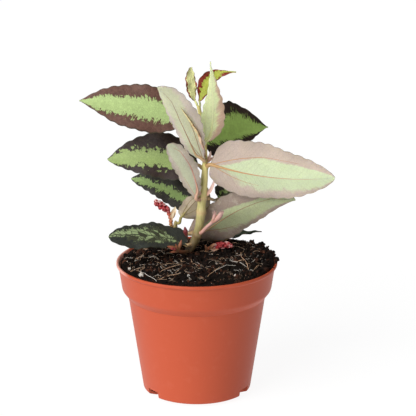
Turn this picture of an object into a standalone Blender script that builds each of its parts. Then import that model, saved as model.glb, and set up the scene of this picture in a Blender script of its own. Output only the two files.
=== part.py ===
"""A watermelon begonia in a plastic nursery pot, built as closed solids.

The origin is the centre of the pot's underside, +Z is up and the plant's front faces -Y.
Dimensions are written in millimetres and become metres when a shape is made.
"""
import math
from typing import NamedTuple

import bmesh
import bpy
from mathutils import Matrix, Vector, noise

MM = 0.001
GAP = 0.3

# Pot
POT_HEIGHT = 67.4
LIP_RADIUS = 40.0
BAND_RADIUS = 38.85
BAND_FOOT_RADIUS = 37.2
BAND_FOOT_HEIGHT = 54.3
WAIST_RADIUS = 34.2
WAIST_HEIGHT = 50.3
BODY_FOOT_RADIUS = 27.3
BODY_FOOT_HEIGHT = 4.0
BODY_EDGE_HEIGHT = 2.0
FOOT_RADIUS = 22.4
WALL = 1.0
POT_STEPS = 40
CENTRE_PAD_RADIUS = 12.8
CHANNEL_HEIGHT = 2.6
CHANNEL_OUTER_RADIUS = 20.8
NOTCH_ANGLES = (-143.5, -30.0, 93.5)
NOTCH_WIDTH = 8.0
NOTCH_HEIGHT = 4.9

# Soil
SOIL_FLOOR = 4.4
SOIL_EDGE_HEIGHT = 66.6
SOIL_CROWN = 4.2
SOIL_LUMP = 0.7
HEAP_PLACE = (28.0, 16.0)
HEAP_HEIGHT = 2.4
HEAP_SPREAD = 10.0
SOIL_TOP_RINGS = (36.5, 33.0, 28.0, 22.5, 17.0, 11.5, 6.0)

# Stems
STEM_PATH = (
    (-4.2, 1.0, 54.0), (-4.2, 1.0, 69.0), (-3.4, 1.0, 73.0), (-1.4, 1.0, 76.6), (0.4, 1.0, 81.5),
    (2.0, 1.0, 90.0), (2.8, 1.0, 101.0), (3.9, 1.0, 111.0), (4.2, 1.0, 120.0), (3.9, 1.3, 128.0),
    (2.6, 2.3, 137.0), (1.0, 3.0, 145.8),
)
STEM_FOOT_RADIUS = 2.15
STEM_TIP_RADIUS = 0.95
STEM_THINS_FROM = 100.0
STEM_THINS_OVER = 26.0
STEM_NODES = (80.5, 92.5, 100.0, 115.5, 119.5, 129.0, 138.0)
NODE_SWELL = 0.4
NODE_SPREAD = 1.3
SHOOT_PATH = ((-10.4, 6.6, 56.0), (-10.4, 6.6, 72.0), (-10.8, 6.4, 79.0), (-10.5, 6.4, 86.2))
BACK_SHOOT_PATH = ((0.5, 15.5, 56.0), (0.5, 15.5, 72.0), (1.0, 15.2, 82.0), (1.6, 14.8, 92.4))
SHOOT_RADIUS = 1.1
FLOWER_FOOT = Vector((4.8, 4.4, 62.0))
FLOWER_STALK = 0.7
TUBE_SIDES_RESOLUTION = 2

# Leaves
BLADE = 0.7
RIB_DEPTH = 0.9
RIB_HALF_WIDTH = 0.8
PETIOLE_ROWS = 3
SMALL_BLADE_COLUMNS = 4
LARGE_BLADE_COLUMNS = 6

# Colours
TERRACOTTA = (0.62, 0.16, 0.08)
PEAT = (0.030, 0.018, 0.011)
STEM_GREEN = (0.42, 0.44, 0.12)
LEAF_TOP = (0.10, 0.16, 0.05)
LEAF_UNDERSIDE = (0.56, 0.55, 0.42)
YOUNG_LEAF = (0.42, 0.46, 0.09)
FLOWER_RED = (0.50, 0.07, 0.07)
FLOWER_PINK = (0.72, 0.36, 0.30)


class Side(NamedTuple):
    """One half of a blade: its greatest width and how it rises from the base and runs out to the tip."""
    wide: float
    shoulder: float
    taper: float


class Joint(NamedTuple):
    """Where a petiole starts and which way it leaves what carries it."""
    point: Vector
    way: Vector


class Leaf(NamedTuple):
    """A leaf: base and tip of its midrib, the way its upper side faces, and the shape of its halves."""
    name: str
    joint: Joint
    base: tuple
    tip: tuple
    face: tuple
    plus: Side
    minus: Side
    bow: float = 2.0
    sweep: float = 0.0
    fold: float = 8.0
    wave: float = 0.8
    waves: float = 2.5
    teeth: int = 10
    notch: float = 0.5
    petiole: float = 1.0
    colour: tuple = LEAF_TOP
    large: bool = True


def clear_scene():
    for old in list(bpy.data.objects):
        bpy.data.objects.remove(old, do_unlink=True)
    for old in list(bpy.data.collections):
        bpy.data.collections.remove(old)


def new_collection(name):
    collection = bpy.data.collections.new(name)
    bpy.context.scene.collection.children.link(collection)
    return collection


def give_material(obj, colour, roughness):
    """A plain material of the piece's own."""
    material = bpy.data.materials.new(obj.name)
    material.use_nodes = True
    shader = material.node_tree.nodes["Principled BSDF"]
    shader.inputs["Base Color"].default_value = (*colour, 1.0)
    shader.inputs["Roughness"].default_value = roughness
    shader.inputs["Metallic"].default_value = 0.0
    obj.data.materials.clear()
    obj.data.materials.append(material)


def evaluated_mesh(obj):
    """The object's mesh with its modifiers, or its curve's surface, as a new mesh."""
    bpy.context.view_layer.update()
    graph = bpy.context.evaluated_depsgraph_get()
    return bpy.data.meshes.new_from_object(obj.evaluated_get(graph))


def smooth_shading(mesh, degrees):
    mesh.shade_smooth()
    mesh.set_sharp_from_angle(angle=math.radians(degrees))


def turned(name, profile, steps, collection):
    """A solid of revolution about Z. The profile starts and ends on the axis and runs down its outside."""
    mesh = bpy.data.meshes.new(name)
    points = [(radius * MM, 0.0, height * MM) for radius, height in profile]
    mesh.from_pydata(points, [(i, i + 1) for i in range(len(points) - 1)], [])
    obj = bpy.data.objects.new(name, mesh)
    collection.objects.link(obj)
    screw = obj.modifiers.new("Turn", "SCREW")
    screw.steps = steps
    screw.render_steps = steps
    screw.use_merge_vertices = True
    screw.merge_threshold = 0.00001
    return obj


def tube(name, points, radii, collection):
    """A closed tube through the points, in millimetres, with a radius at each point."""
    curve = bpy.data.curves.new(name, "CURVE")
    curve.dimensions = "3D"
    curve.bevel_depth = MM
    curve.bevel_resolution = TUBE_SIDES_RESOLUTION
    curve.use_fill_caps = True
    spline = curve.splines.new("POLY")
    spline.points.add(len(points) - 1)
    for place, point, radius in zip(spline.points, points, radii):
        place.co = (*(Vector(point) * MM), 1.0)
        place.radius = radius
    source = bpy.data.objects.new(name + "_curve", curve)
    collection.objects.link(source)
    mesh = evaluated_mesh(source)
    obj = bpy.data.objects.new(name, mesh)
    obj.matrix_world = source.matrix_world
    collection.objects.link(obj)
    bpy.data.objects.remove(source)
    work = bmesh.new()
    work.from_mesh(mesh)
    bmesh.ops.remove_doubles(work, verts=work.verts, dist=0.00001)
    bmesh.ops.recalc_face_normals(work, faces=work.faces)
    work.to_mesh(mesh)
    work.free()
    return obj


def ball(name, centre, radii, collection):
    """A coarse berry or bud, stretched to its three radii in millimetres."""
    mesh = bpy.data.meshes.new(name)
    work = bmesh.new()
    bmesh.ops.create_icosphere(work, subdivisions=1, radius=1.0)
    bmesh.ops.scale(work, vec=Vector(radii) * MM, verts=work.verts)
    bmesh.ops.translate(work, vec=Vector(centre) * MM, verts=work.verts)
    work.to_mesh(mesh)
    work.free()
    obj = bpy.data.objects.new(name, mesh)
    collection.objects.link(obj)
    return obj


def fuse(name, pieces, collection):
    """One object that joins overlapping pieces, which are removed."""
    others = bpy.data.collections.new(name + "_pieces")
    bpy.context.scene.collection.children.link(others)
    for piece in pieces[1:]:
        others.objects.link(piece)
    union = pieces[0].modifiers.new("Union", "BOOLEAN")
    union.operation = "UNION"
    union.operand_type = "COLLECTION"
    union.collection = others
    union.solver = "EXACT"
    mesh = evaluated_mesh(pieces[0])
    for piece in pieces:
        bpy.data.objects.remove(piece)
    bpy.data.collections.remove(others)
    obj = bpy.data.objects.new(name, mesh)
    collection.objects.link(obj)
    return obj


def cut(obj, cutters):
    """Takes every solid of a collection out of the object."""
    boolean = obj.modifiers.new("Cut", "BOOLEAN")
    boolean.operation = "DIFFERENCE"
    boolean.operand_type = "COLLECTION"
    boolean.collection = cutters
    boolean.solver = "EXACT"


def as_cutter(obj):
    obj.hide_render = True
    obj.display_type = "WIRE"


def smooth_path(points, per_span):
    """Points along a smooth curve through the given ones."""
    guides = [Vector(point) for point in points]
    guides = [guides[0] * 2 - guides[1]] + guides + [guides[-1] * 2 - guides[-2]]
    path = []
    for i in range(1, len(guides) - 2):
        before, start, end, after = guides[i - 1:i + 3]
        for k in range(per_span):
            t = k / per_span
            path.append(0.5 * (2 * start + (end - before) * t
                               + (2 * before - 5 * start + 4 * end - after) * t ** 2
                               + (3 * start - before - 3 * end + after) * t ** 3))
    path.append(guides[-2])
    return path


def at_height(path, height):
    """The point of a rising path at the given height, and the path's direction there."""
    for low, high in zip(path, path[1:]):
        if low.z <= height <= high.z:
            return low.lerp(high, (height - low.z) / (high.z - low.z)), (high - low).normalized()
    raise ValueError(f"the path doesn't reach {height}")


def stem_radius(height):
    """The stem thins toward its tip and swells at each node."""
    t = min(max((height - STEM_THINS_FROM) / STEM_THINS_OVER, 0.0), 1.0)
    thin = STEM_FOOT_RADIUS + (STEM_TIP_RADIUS - STEM_FOOT_RADIUS) * t * t * (3 - 2 * t)
    swell = sum(math.exp(-((height - node) / NODE_SPREAD) ** 2) for node in STEM_NODES)
    return thin + NODE_SWELL * min(swell, 1.0)


def joint_on(path, radius, height, azimuth):
    """A joint on the side of a stem: azimuth 0 is its right, 90 its back and 270 its front."""
    turn = math.radians(azimuth)
    point, along = at_height(path, height)
    way = Vector((math.cos(turn), math.sin(turn), 0.0))
    way = (way - along * way.dot(along)).normalized()
    return Joint(point + way * (radius + GAP), way)


def on_stem(height, azimuth):
    return joint_on(smooth_path(STEM_PATH, 6), stem_radius(height), height, azimuth)


def on_shoot(path, height, azimuth):
    return joint_on(smooth_path(path, 4), SHOOT_RADIUS, height, azimuth)


def outline(t, side):
    """A half blade's width along the midrib, as a share of its greatest width."""
    peak = side.shoulder / (side.shoulder + side.taper)
    top = peak ** side.shoulder * (1 - peak) ** side.taper
    return t ** side.shoulder * (1 - t) ** side.taper / top


def blade_frame(leaf):
    """The midrib's guide point and the upper side's normal of a leaf."""
    base, tip = Vector(leaf.base), Vector(leaf.tip)
    chord = (tip - base).normalized()
    face = Vector(leaf.face)
    normal = (face - chord * face.dot(chord)).normalized()
    side = chord.cross(normal)
    guide = (base + tip) / 2 + 2 * (normal * leaf.bow + side * leaf.sweep)
    return guide, normal


def blade_point(leaf, t, across):
    """A point of the upper side, t along the midrib and -3 to 3 across, and the thickness there."""
    base, tip = Vector(leaf.base), Vector(leaf.tip)
    guide, facing = blade_frame(leaf)
    rib = base * (1 - t) ** 2 + guide * 2 * t * (1 - t) + tip * t * t
    along = ((guide - base) * 2 * (1 - t) + (tip - guide) * 2 * t).normalized()
    normal = (facing - along * facing.dot(along)).normalized()
    side = along.cross(normal)
    half = leaf.plus if across > 0 else leaf.minus
    share = outline(t, half)
    tooth = leaf.notch * min(1.0, 1.5 * share) * (0.5 - 0.5 * math.cos(math.tau * leaf.teeth * t))
    widest = max(half.wide * share, leaf.petiole * (1 - t) + 0.3 * t)
    steps = (0.0, min(RIB_HALF_WIDTH, 0.35 * widest), 0.6 * widest, widest - tooth)
    reach = math.copysign(steps[abs(across)], across)
    ripple = math.sin(math.tau * leaf.waves * t + (1.1 if across > 0 else 0.0))
    lift = abs(reach) * math.sin(math.radians(leaf.fold))
    lift += leaf.wave * share * (reach / max(widest, 1.0)) ** 2 * ripple
    point = rib + side * reach * math.cos(math.radians(leaf.fold)) + normal * lift
    thickness = BLADE + (RIB_DEPTH * (1 - t) if across == 0 else 0.0)
    return point, thickness


def petiole_point(leaf, u, across):
    """The same for the petiole, u along it: a flat upper side over a rounded lower one."""
    start, way = leaf.joint
    base = Vector(leaf.base)
    guide, facing = blade_frame(leaf)
    into = (guide - base).normalized()
    pull = (base - start).length / 3
    first, second = start + way * pull, base - into * pull
    point = start * (1 - u) ** 3 + first * 3 * u * (1 - u) ** 2 + second * 3 * u * u * (1 - u) + base * u ** 3
    along = ((first - start) * (1 - u) ** 2 + (second - first) * 2 * u * (1 - u) + (base - second) * u * u)
    along.normalize()
    side = into.cross(facing)
    side = (side - along * side.dot(along)).normalized()
    point += side.cross(along) * leaf.petiole * 0.8 * (1 - u) + side * leaf.petiole * across / 3
    return point, leaf.petiole * (0.4 + 1.2 * math.sqrt(1 - (across / 3) ** 2))


def build_leaf(leaf, collection):
    """A blade with its rib and petiole: a grid moved by formula, cut in triangles and thickened."""
    blade_rows = 2 * leaf.teeth
    columns = LARGE_BLADE_COLUMNS if leaf.large else SMALL_BLADE_COLUMNS
    places = (-3, -2, -1, 0, 1, 2, 3) if leaf.large else (-3, -2, 0, 2, 3)
    rows = PETIOLE_ROWS + blade_rows
    work = bmesh.new()
    bmesh.ops.create_grid(work, x_segments=rows, y_segments=columns, size=1.0)
    thick = BLADE + RIB_DEPTH
    weights = []
    for vert in work.verts:
        row = round((vert.co.x + 1) / 2 * rows)
        across = places[round((vert.co.y + 1) / 2 * columns)]
        if row < PETIOLE_ROWS:
            point, thickness = petiole_point(leaf, row / PETIOLE_ROWS, across)
        else:
            point, thickness = blade_point(leaf, (row - PETIOLE_ROWS) / blade_rows, across)
        vert.co = point * MM
        weights.append(min(thickness / thick, 1.0))
    bmesh.ops.triangulate(work, faces=work.faces, quad_method="FIXED")
    mesh = bpy.data.meshes.new(leaf.name)
    work.to_mesh(mesh)
    work.free()
    obj = bpy.data.objects.new(leaf.name, mesh)
    collection.objects.link(obj)
    group = obj.vertex_groups.new(name="Thickness")
    for index, weight in enumerate(weights):
        group.add([index], weight, "REPLACE")
    solidify = obj.modifiers.new("Thickness", "SOLIDIFY")
    solidify.thickness = thick * MM
    solidify.offset = -1.0
    solidify.vertex_group = group.name
    solidify.thickness_vertex_group = 0.0
    smooth_shading(mesh, 40)
    give_material(obj, leaf.colour, 0.45)
    return obj


def pot_profile():
    """The pot's section, from the middle of its floor, out and up the inside and down the outside."""
    inside = [
        (0.0, WALL), (CENTRE_PAD_RADIUS - 0.8, WALL), (CENTRE_PAD_RADIUS, CHANNEL_HEIGHT + WALL),
        (CHANNEL_OUTER_RADIUS + 0.7, CHANNEL_HEIGHT + WALL), (FOOT_RADIUS - 0.6, WALL + 0.1),
        (FOOT_RADIUS + 0.5, WALL + 0.1), (BODY_FOOT_RADIUS - 1.6, BODY_EDGE_HEIGHT + 0.9),
        (BODY_FOOT_RADIUS - WALL + 0.1, BODY_FOOT_HEIGHT + 0.6), (WAIST_RADIUS - WALL, WAIST_HEIGHT + 0.2),
        (WAIST_RADIUS - WALL + 0.2, WAIST_HEIGHT + 0.7), (WAIST_RADIUS + 0.2, WAIST_HEIGHT + 1.7),
        (BAND_FOOT_RADIUS - 1.4, BAND_FOOT_HEIGHT - 0.8), (BAND_FOOT_RADIUS - WALL + 0.05, BAND_FOOT_HEIGHT + 0.4),
        (BAND_RADIUS - WALL, POT_HEIGHT - 2.2), (BAND_RADIUS - 0.5, POT_HEIGHT - 1.0),
        (LIP_RADIUS - WALL, POT_HEIGHT),
    ]
    outside = [
        (LIP_RADIUS - 0.25, POT_HEIGHT), (LIP_RADIUS, POT_HEIGHT - 0.3), (LIP_RADIUS, POT_HEIGHT - 1.2),
        (LIP_RADIUS - 0.3, POT_HEIGHT - 1.6), (BAND_RADIUS, POT_HEIGHT - 2.1),
        (BAND_FOOT_RADIUS, BAND_FOOT_HEIGHT), (BAND_FOOT_RADIUS - 0.4, BAND_FOOT_HEIGHT - 0.9),
        (WAIST_RADIUS + 0.5, WAIST_HEIGHT + 0.4), (WAIST_RADIUS, WAIST_HEIGHT),
        (BODY_FOOT_RADIUS, BODY_FOOT_HEIGHT), (BODY_FOOT_RADIUS - 0.3, BODY_EDGE_HEIGHT),
        (BODY_FOOT_RADIUS - 0.7, BODY_EDGE_HEIGHT - 0.4), (FOOT_RADIUS, 0.0),
        (FOOT_RADIUS - 1.2, 0.0), (CHANNEL_OUTER_RADIUS, CHANNEL_HEIGHT),
        (CENTRE_PAD_RADIUS + 0.8, CHANNEL_HEIGHT), (CENTRE_PAD_RADIUS, 0.0), (0.0, 0.0),
    ]
    return inside + outside


def build_pot(collection, cutters):
    pot = turned("pot", pot_profile(), POT_STEPS, collection)
    reach = BODY_FOOT_RADIUS + 4.0 - CHANNEL_OUTER_RADIUS
    for index, angle in enumerate(NOTCH_ANGLES):
        mesh = bpy.data.meshes.new(f"notch_{index + 1}")
        work = bmesh.new()
        bmesh.ops.create_cube(work, size=1.0)
        size = Vector((reach, NOTCH_WIDTH, 2 * NOTCH_HEIGHT)) * MM
        bmesh.ops.scale(work, vec=size, verts=work.verts)
        middle = CHANNEL_OUTER_RADIUS + reach / 2 - 0.4
        bmesh.ops.translate(work, vec=Vector((middle * MM, 0.0, 0.0)), verts=work.verts)
        work.to_mesh(mesh)
        work.free()
        cutter = bpy.data.objects.new(mesh.name, mesh)
        cutter.matrix_world = Matrix.Rotation(math.radians(angle), 4, "Z")
        cutters.objects.link(cutter)
        as_cutter(cutter)
    cut(pot, cutters)
    smooth_shading(pot.data, 35)
    give_material(pot, TERRACOTTA, 0.42)
    return pot


def soil_height(x, y):
    """The heaped, crumbly surface of the soil, in millimetres."""
    radius = math.hypot(x, y)
    edge = max(0.0, 1.0 - (radius / 38.0) ** 2)
    lump = noise.noise(Vector((x * 0.16, y * 0.16, 3.7)))
    lump += 0.5 * noise.noise(Vector((x * 0.45, y * 0.45, 9.1)))
    away = math.dist((x, y), HEAP_PLACE) / HEAP_SPREAD
    return SOIL_EDGE_HEIGHT + SOIL_CROWN * edge + SOIL_LUMP * lump + HEAP_HEIGHT * math.exp(-away ** 2 / 2)


def soil_profile():
    """The soil's section, from the middle of its top down the wall of the pot."""
    wall = [
        (BAND_RADIUS - WALL - GAP, POT_HEIGHT - 2.3), (BAND_FOOT_RADIUS - WALL - GAP, BAND_FOOT_HEIGHT + 0.5),
        (BAND_FOOT_RADIUS - 1.8, BAND_FOOT_HEIGHT - 0.5), (WAIST_RADIUS - 0.1, WAIST_HEIGHT + 2.0),
        (WAIST_RADIUS - WALL - GAP, WAIST_HEIGHT + 0.9), (BODY_FOOT_RADIUS - WALL - GAP, SOIL_FLOOR + 0.4),
        (BODY_FOOT_RADIUS - 2.4, SOIL_FLOOR - 0.3),
    ]
    top = [(ring, SOIL_EDGE_HEIGHT) for ring in reversed(SOIL_TOP_RINGS)]
    return [(0.0, SOIL_EDGE_HEIGHT)] + top + wall + [(0.0, SOIL_FLOOR - 0.3)]


def build_soil(collection, cutters):
    """The root ball that fills the pot, with plain holes for what stands in it."""
    form = turned("soil_form", soil_profile(), POT_STEPS, collection)
    mesh = evaluated_mesh(form)
    mesh.name = "soil"
    bpy.data.objects.remove(form)
    for vert in mesh.vertices:
        if abs(vert.co.z - SOIL_EDGE_HEIGHT * MM) < 1e-6:
            vert.co.z = soil_height(vert.co.x / MM, vert.co.y / MM) * MM
    soil = bpy.data.objects.new("soil", mesh)
    collection.objects.link(soil)
    holes = {
        "stem_hole": (Vector(STEM_PATH[0]), STEM_FOOT_RADIUS),
        "shoot_hole": (Vector(SHOOT_PATH[0]), SHOOT_RADIUS),
        "back_shoot_hole": (Vector(BACK_SHOOT_PATH[0]), SHOOT_RADIUS),
        "flower_hole": (FLOWER_FOOT, FLOWER_STALK),
    }
    for name, (foot, radius) in holes.items():
        form = bpy.data.meshes.new(name)
        work = bmesh.new()
        bmesh.ops.create_cone(work, cap_ends=True, segments=16, radius1=(radius + GAP + 0.12) * MM,
                              radius2=(radius + GAP + 0.12) * MM, depth=40 * MM)
        bmesh.ops.translate(work, vec=(foot + Vector((0, 0, 20 - GAP))) * MM, verts=work.verts)
        work.to_mesh(form)
        work.free()
        cutter = bpy.data.objects.new(name, form)
        cutters.objects.link(cutter)
        as_cutter(cutter)
    cut(soil, cutters)
    smooth_shading(mesh, 60)
    give_material(soil, PEAT, 0.95)
    return soil


def scale_leaf(name, points, widest, collection):
    """A stipule: a slender pointed tube through the points."""
    path = smooth_path(points, 3)
    last = len(path) - 1
    radii = [max(0.3, widest * math.sin(math.pi * (0.22 + 0.72 * i / last))) for i in range(len(path))]
    return tube(name, path, radii, collection)


def build_main_stem(collection):
    """The stem with its swollen nodes and the stipules that grow from it."""
    path = smooth_path(STEM_PATH, 3)
    pieces = [tube("stem_core", path, [stem_radius(point.z) for point in path], collection)]
    stipules = (
        ((4.6, 1.2, 118.0), (6.2, 1.6, 121.0), (6.9, 1.7, 124.0)),
        ((2.2, 0.6, 102.4), (0.6, 0.8, 105.4), (-0.4, 0.9, 108.4)),
        ((-3.4, 1.2, 75.6), (-5.3, 1.2, 80.5), (-5.9, 1.2, 84.6)),
    )
    for index, points in enumerate(stipules):
        pieces.append(scale_leaf(f"stipule_{index + 1}", points, 0.8, collection))
    stem = fuse("main_stem", pieces, collection)
    smooth_shading(stem.data, 50)
    give_material(stem, STEM_GREEN, 0.5)
    return stem


def build_shoot(name, points, collection):
    """A short shoot of even thickness beside the main stem."""
    path = smooth_path(points, 3)
    shoot = tube(name, path, [SHOOT_RADIUS] * len(path), collection)
    smooth_shading(shoot.data, 50)
    give_material(shoot, STEM_GREEN, 0.5)
    return shoot


def flower_bunch(name, stalk, stalk_radius, foot, head, thick, count, collection):
    """A dense bunch of small flowers along the end of a stalk, all sunk into a core."""
    path = smooth_path(stalk, 3)
    pieces = [tube(name + "_stalk", path, [stalk_radius] * len(path), collection)]
    foot, head = Vector(foot), Vector(head)
    core = [foot.lerp(head, t) for t in (0.05, 0.5, 0.95)]
    pieces.append(tube(name + "_core", core, [thick * 0.8, thick, thick * 0.8], collection))
    side = (head - foot).orthogonal().normalized()
    other = side.cross((head - foot).normalized())
    for index in range(count):
        turn = index * 2.39996
        share = (index + 0.5) / count
        out = (side * math.cos(turn) + other * math.sin(turn)) * thick * math.sin(math.pi * (0.12 + 0.76 * share))
        size = 0.85 + 0.3 * (index * 7 % 5) / 4
        pieces.append(ball(f"{name}_{index}", foot.lerp(head, share) + out, (size, size, size), collection))
    bunch = fuse(name, pieces, collection)
    smooth_shading(bunch.data, 60)
    give_material(bunch, FLOWER_RED, 0.5)
    return bunch


def build_forked_flower(name, stalk, tips, radius, colour, collection):
    """A stalk that forks into pointed lobes."""
    path = smooth_path(stalk, 3)
    pieces = [tube(name + "_stalk", path, [radius] * len(path), collection)]
    for index, (points, widest) in enumerate(tips):
        pieces.append(scale_leaf(f"{name}_{index}", points, widest, collection))
    flower = fuse(name, pieces, collection)
    smooth_shading(flower.data, 50)
    give_material(flower, colour, 0.5)
    return flower


def build_flowers(collection):
    flower_bunch(
        "flower_cluster_left", ((-12.55, 6.4, 83.2), (-12.8, 6.4, 84.2), (-13.1, 6.4, 88.0), (-14.8, 6.4, 92.6)),
        0.6, (-13.6, 6.4, 91.8), (-20.6, 6.4, 96.2), 1.0, 11, collection)
    flower_bunch(
        "flower_cluster_right", (tuple(FLOWER_FOOT), (4.8, 4.4, 70.4), (6.4, 4.8, 72.4), (9.4, 5.0, 73.6)),
        FLOWER_STALK, (7.8, 5.0, 73.5), (17.0, 5.0, 74.0), 0.9, 12, collection)
    build_forked_flower(
        "flower_fork", ((2.8, -1.7, 83.0), (4.6, -2.2, 85.2), (7.2, -2.8, 87.8), (9.0, -3.2, 89.8)),
        (
            (((8.2, -3.1, 88.8), (8.8, -3.8, 91.2), (8.7, -4.2, 93.8)), 0.9),
            (((8.2, -3.0, 88.8), (10.8, -3.8, 91.3), (12.2, -4.2, 93.8)), 1.4),
        ), 1.0, FLOWER_PINK, collection)
    build_forked_flower(
        "flower_cluster_base", ((-5.3, -1.5, 72.6), (-6.2, -5.4, 73.7), (-8.2, -9.0, 75.2), (-10.0, -10.4, 76.8)),
        (
            (((-9.5, -10.1, 76.3), (-8.3, -10.6, 78.8), (-7.6, -11.0, 81.4)), 1.0),
            (((-9.3, -10.0, 76.3), (-11.8, -11.8, 78.0), (-14.2, -13.2, 79.0)), 1.2),
        ), 0.8, FLOWER_PINK, collection)


def leaves():
    """Every leaf of the plant, from the soil up."""
    under = dict(colour=LEAF_UNDERSIDE, bow=0.0)
    small = dict(large=False, teeth=6, notch=0.3, petiole=0.8)
    young = dict(colour=YOUNG_LEAF, large=False, teeth=6, notch=0.3, petiole=0.55)
    return (
        Leaf("leaf_bottom_left", on_stem(75.2, 228), (-4.9, -3.0, 77.0), (-43.0, -12.0, 83.6), (0.0, -0.5, 0.87),
             Side(9.3, 0.3, 0.6), Side(9.2, 0.9, 0.5), sweep=1.0, fold=6.0, teeth=9),
        Leaf("leaf_back_right", on_shoot(BACK_SHOOT_PATH, 75.0, 5), (14.5, 16.6, 73.8), (33.0, 26.0, 74.4),
             (0.0, -0.1, 1.0), Side(2.8, 0.5, 1.0), Side(3.0, 0.5, 1.0), bow=1.0, **small),
        Leaf("leaf_lower_right", on_stem(80.0, 95), (-3.8, 8.3, 79.4), (48.7, 2.0, 98.2), (0.0, 0.95, 0.3),
             Side(10.2, 0.7, 0.6), Side(14.8, 0.5, 1.2), sweep=4.0, **under),
        Leaf("leaf_behind_stem", on_shoot(SHOOT_PATH, 85.0, 0), (-7.7, 6.4, 88.4), (5.4, 6.2, 103.4), (0.0, 1.0, 0.2),
             Side(4.6, 0.4, 0.8), Side(9.0, 0.6, 0.8), bow=0.0, colour=LEAF_UNDERSIDE, **small),
        Leaf("leaf_lower_left", on_shoot(BACK_SHOOT_PATH, 91.0, 185), (-1.6, 14.4, 92.0), (-33.0, 26.0, 102.4),
             (-0.15, -0.85, 0.5), Side(7.0, 0.5, 0.7), Side(7.0, 0.4, 0.65), sweep=2.2, teeth=8),
        Leaf("leaf_small_right", on_stem(99.2, 20), (10.9, 10.0, 96.8), (21.4, 13.2, 105.2), (0.3, -0.8, 0.5),
             Side(5.6, 0.5, 0.8), Side(5.8, 0.35, 0.8), bow=0.0, **small),
        Leaf("leaf_small_left", on_stem(99.4, 235), (-0.2, -3.0, 100.8), (-13.7, -5.0, 128.8), (0.1, 1.0, 0.2),
             Side(5.0, 0.6, 0.45), Side(7.0, 0.6, 0.5), sweep=-1.0, fold=12.0, teeth=8, **under),
        Leaf("leaf_middle_left", on_stem(114.4, 130), (0.4, 5.2, 115.5), (-44.2, 13.0, 116.2),
             (-0.05, -0.85, 0.52), Side(13.2, 0.7, 1.0), Side(10.9, 0.3, 0.7), sweep=1.5, teeth=9),
        Leaf("leaf_large_right", on_stem(116.4, 306), (6.8, -2.4, 118.0), (66.9, -12.0, 113.7), (0.0, 0.98, 0.15),
             Side(16.9, 0.3, 0.66), Side(12.8, 0.45, 0.6), sweep=-3.6, teeth=11, **under),
        Leaf("leaf_diagonal", on_stem(119.6, 258), (3.3, -4.4, 121.0), (-18.3, -24.0, 161.6), (0.1, 1.0, 0.4),
             Side(6.0, 0.6, 0.8), Side(9.6, 1.0, 0.6), colour=LEAF_UNDERSIDE, bow=-2.0, sweep=-1.5, fold=12.0),
        Leaf("leaf_upright", on_stem(128.6, 272), (4.1, -3.0, 129.4), (6.6, -14.0, 171.4), (0.0, 1.0, 0.2),
             Side(4.1, 0.5, 1.7), Side(8.2, 0.5, 1.4), colour=LEAF_UNDERSIDE, bow=-1.0, sweep=-1.2, fold=12.0,
             teeth=9),
        Leaf("leaf_upper_right", on_stem(126.0, 80), (3.0, 7.8, 125.8), (36.1, 34.0, 127.1), (0.1, -0.8, 0.6),
             Side(12.0, 0.25, 1.25), Side(17.0, 1.5, 1.35), sweep=0.0, teeth=9),
        Leaf("leaf_upper_left", on_stem(138.0, 148), (-0.5, 4.4, 139.4), (-57.0, 4.0, 148.2), (-0.05, -0.75, 0.66),
             Side(10.8, 0.9, 1.0), Side(15.4, 0.85, 1.1), bow=3.0, sweep=1.0, teeth=11),
        Leaf("leaf_tip_left", Joint(Vector((0.1, 3.5, 146.5)), Vector((-0.3, 0.1, 0.95))), (-0.8, 4.0, 148.2),
             (-2.3, 4.0, 164.7), (0.3, -1.0, 0.2), Side(2.7, 0.9, 0.95), Side(3.0, 0.45, 0.4), bow=0.0, sweep=-1.0,
             **young),
        Leaf("leaf_tip_right", Joint(Vector((1.7, 2.7, 146.5)), Vector((0.0, -0.1, 1.0))), (1.4, 2.2, 148.2),
             (19.2, 3.0, 162.4), (0.0, -1.0, 0.1), Side(4.4, 0.6, 1.1), Side(3.5, 1.4, 2.1), bow=0.0, sweep=-6.0,
             **young),
    )


def main():
    clear_scene()
    plant = new_collection("potted_watermelon_begonia")
    pot_cutters = new_collection("pot_notches")
    soil_cutters = new_collection("soil_holes")
    build_pot(plant, pot_cutters)
    build_soil(plant, soil_cutters)
    build_main_stem(plant)
    build_shoot("side_shoot", SHOOT_PATH, plant)
    build_shoot("back_shoot", BACK_SHOOT_PATH, plant)
    for leaf in leaves():
        build_leaf(leaf, plant)
    build_flowers(plant)


main()
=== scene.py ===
"""Dresses the fixed frame of a potted watermelon begonia: its pot, soil, stems, leaves and flowers.

Shapes are worked out in millimetres and become metres when a mesh is made.
"""

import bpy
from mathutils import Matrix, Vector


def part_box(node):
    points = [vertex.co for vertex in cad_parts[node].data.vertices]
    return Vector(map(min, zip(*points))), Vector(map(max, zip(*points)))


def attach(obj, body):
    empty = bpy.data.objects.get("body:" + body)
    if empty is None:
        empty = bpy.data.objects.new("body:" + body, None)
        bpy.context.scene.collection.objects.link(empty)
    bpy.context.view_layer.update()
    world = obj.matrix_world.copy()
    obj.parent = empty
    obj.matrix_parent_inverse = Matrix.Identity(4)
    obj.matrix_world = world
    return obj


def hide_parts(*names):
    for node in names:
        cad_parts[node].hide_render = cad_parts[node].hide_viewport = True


bl_info = {
    "name": "Potted Watermelon Begonia",
    "version": (1, 0, 0),
    "blender": (4, 5, 0),
    "location": "3D View > Sidebar > Begonia",
    "description": "Builds the visible pot, soil, stems, leaves and flowers of a potted watermelon begonia",
    "category": "Object",
}

import math
import random
from typing import NamedTuple

import bmesh
import bpy
import numpy as np
from bpy.props import FloatProperty, FloatVectorProperty, IntProperty, PointerProperty
from bpy.types import Operator, Panel, PropertyGroup
from mathutils import Matrix, Vector, noise

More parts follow.
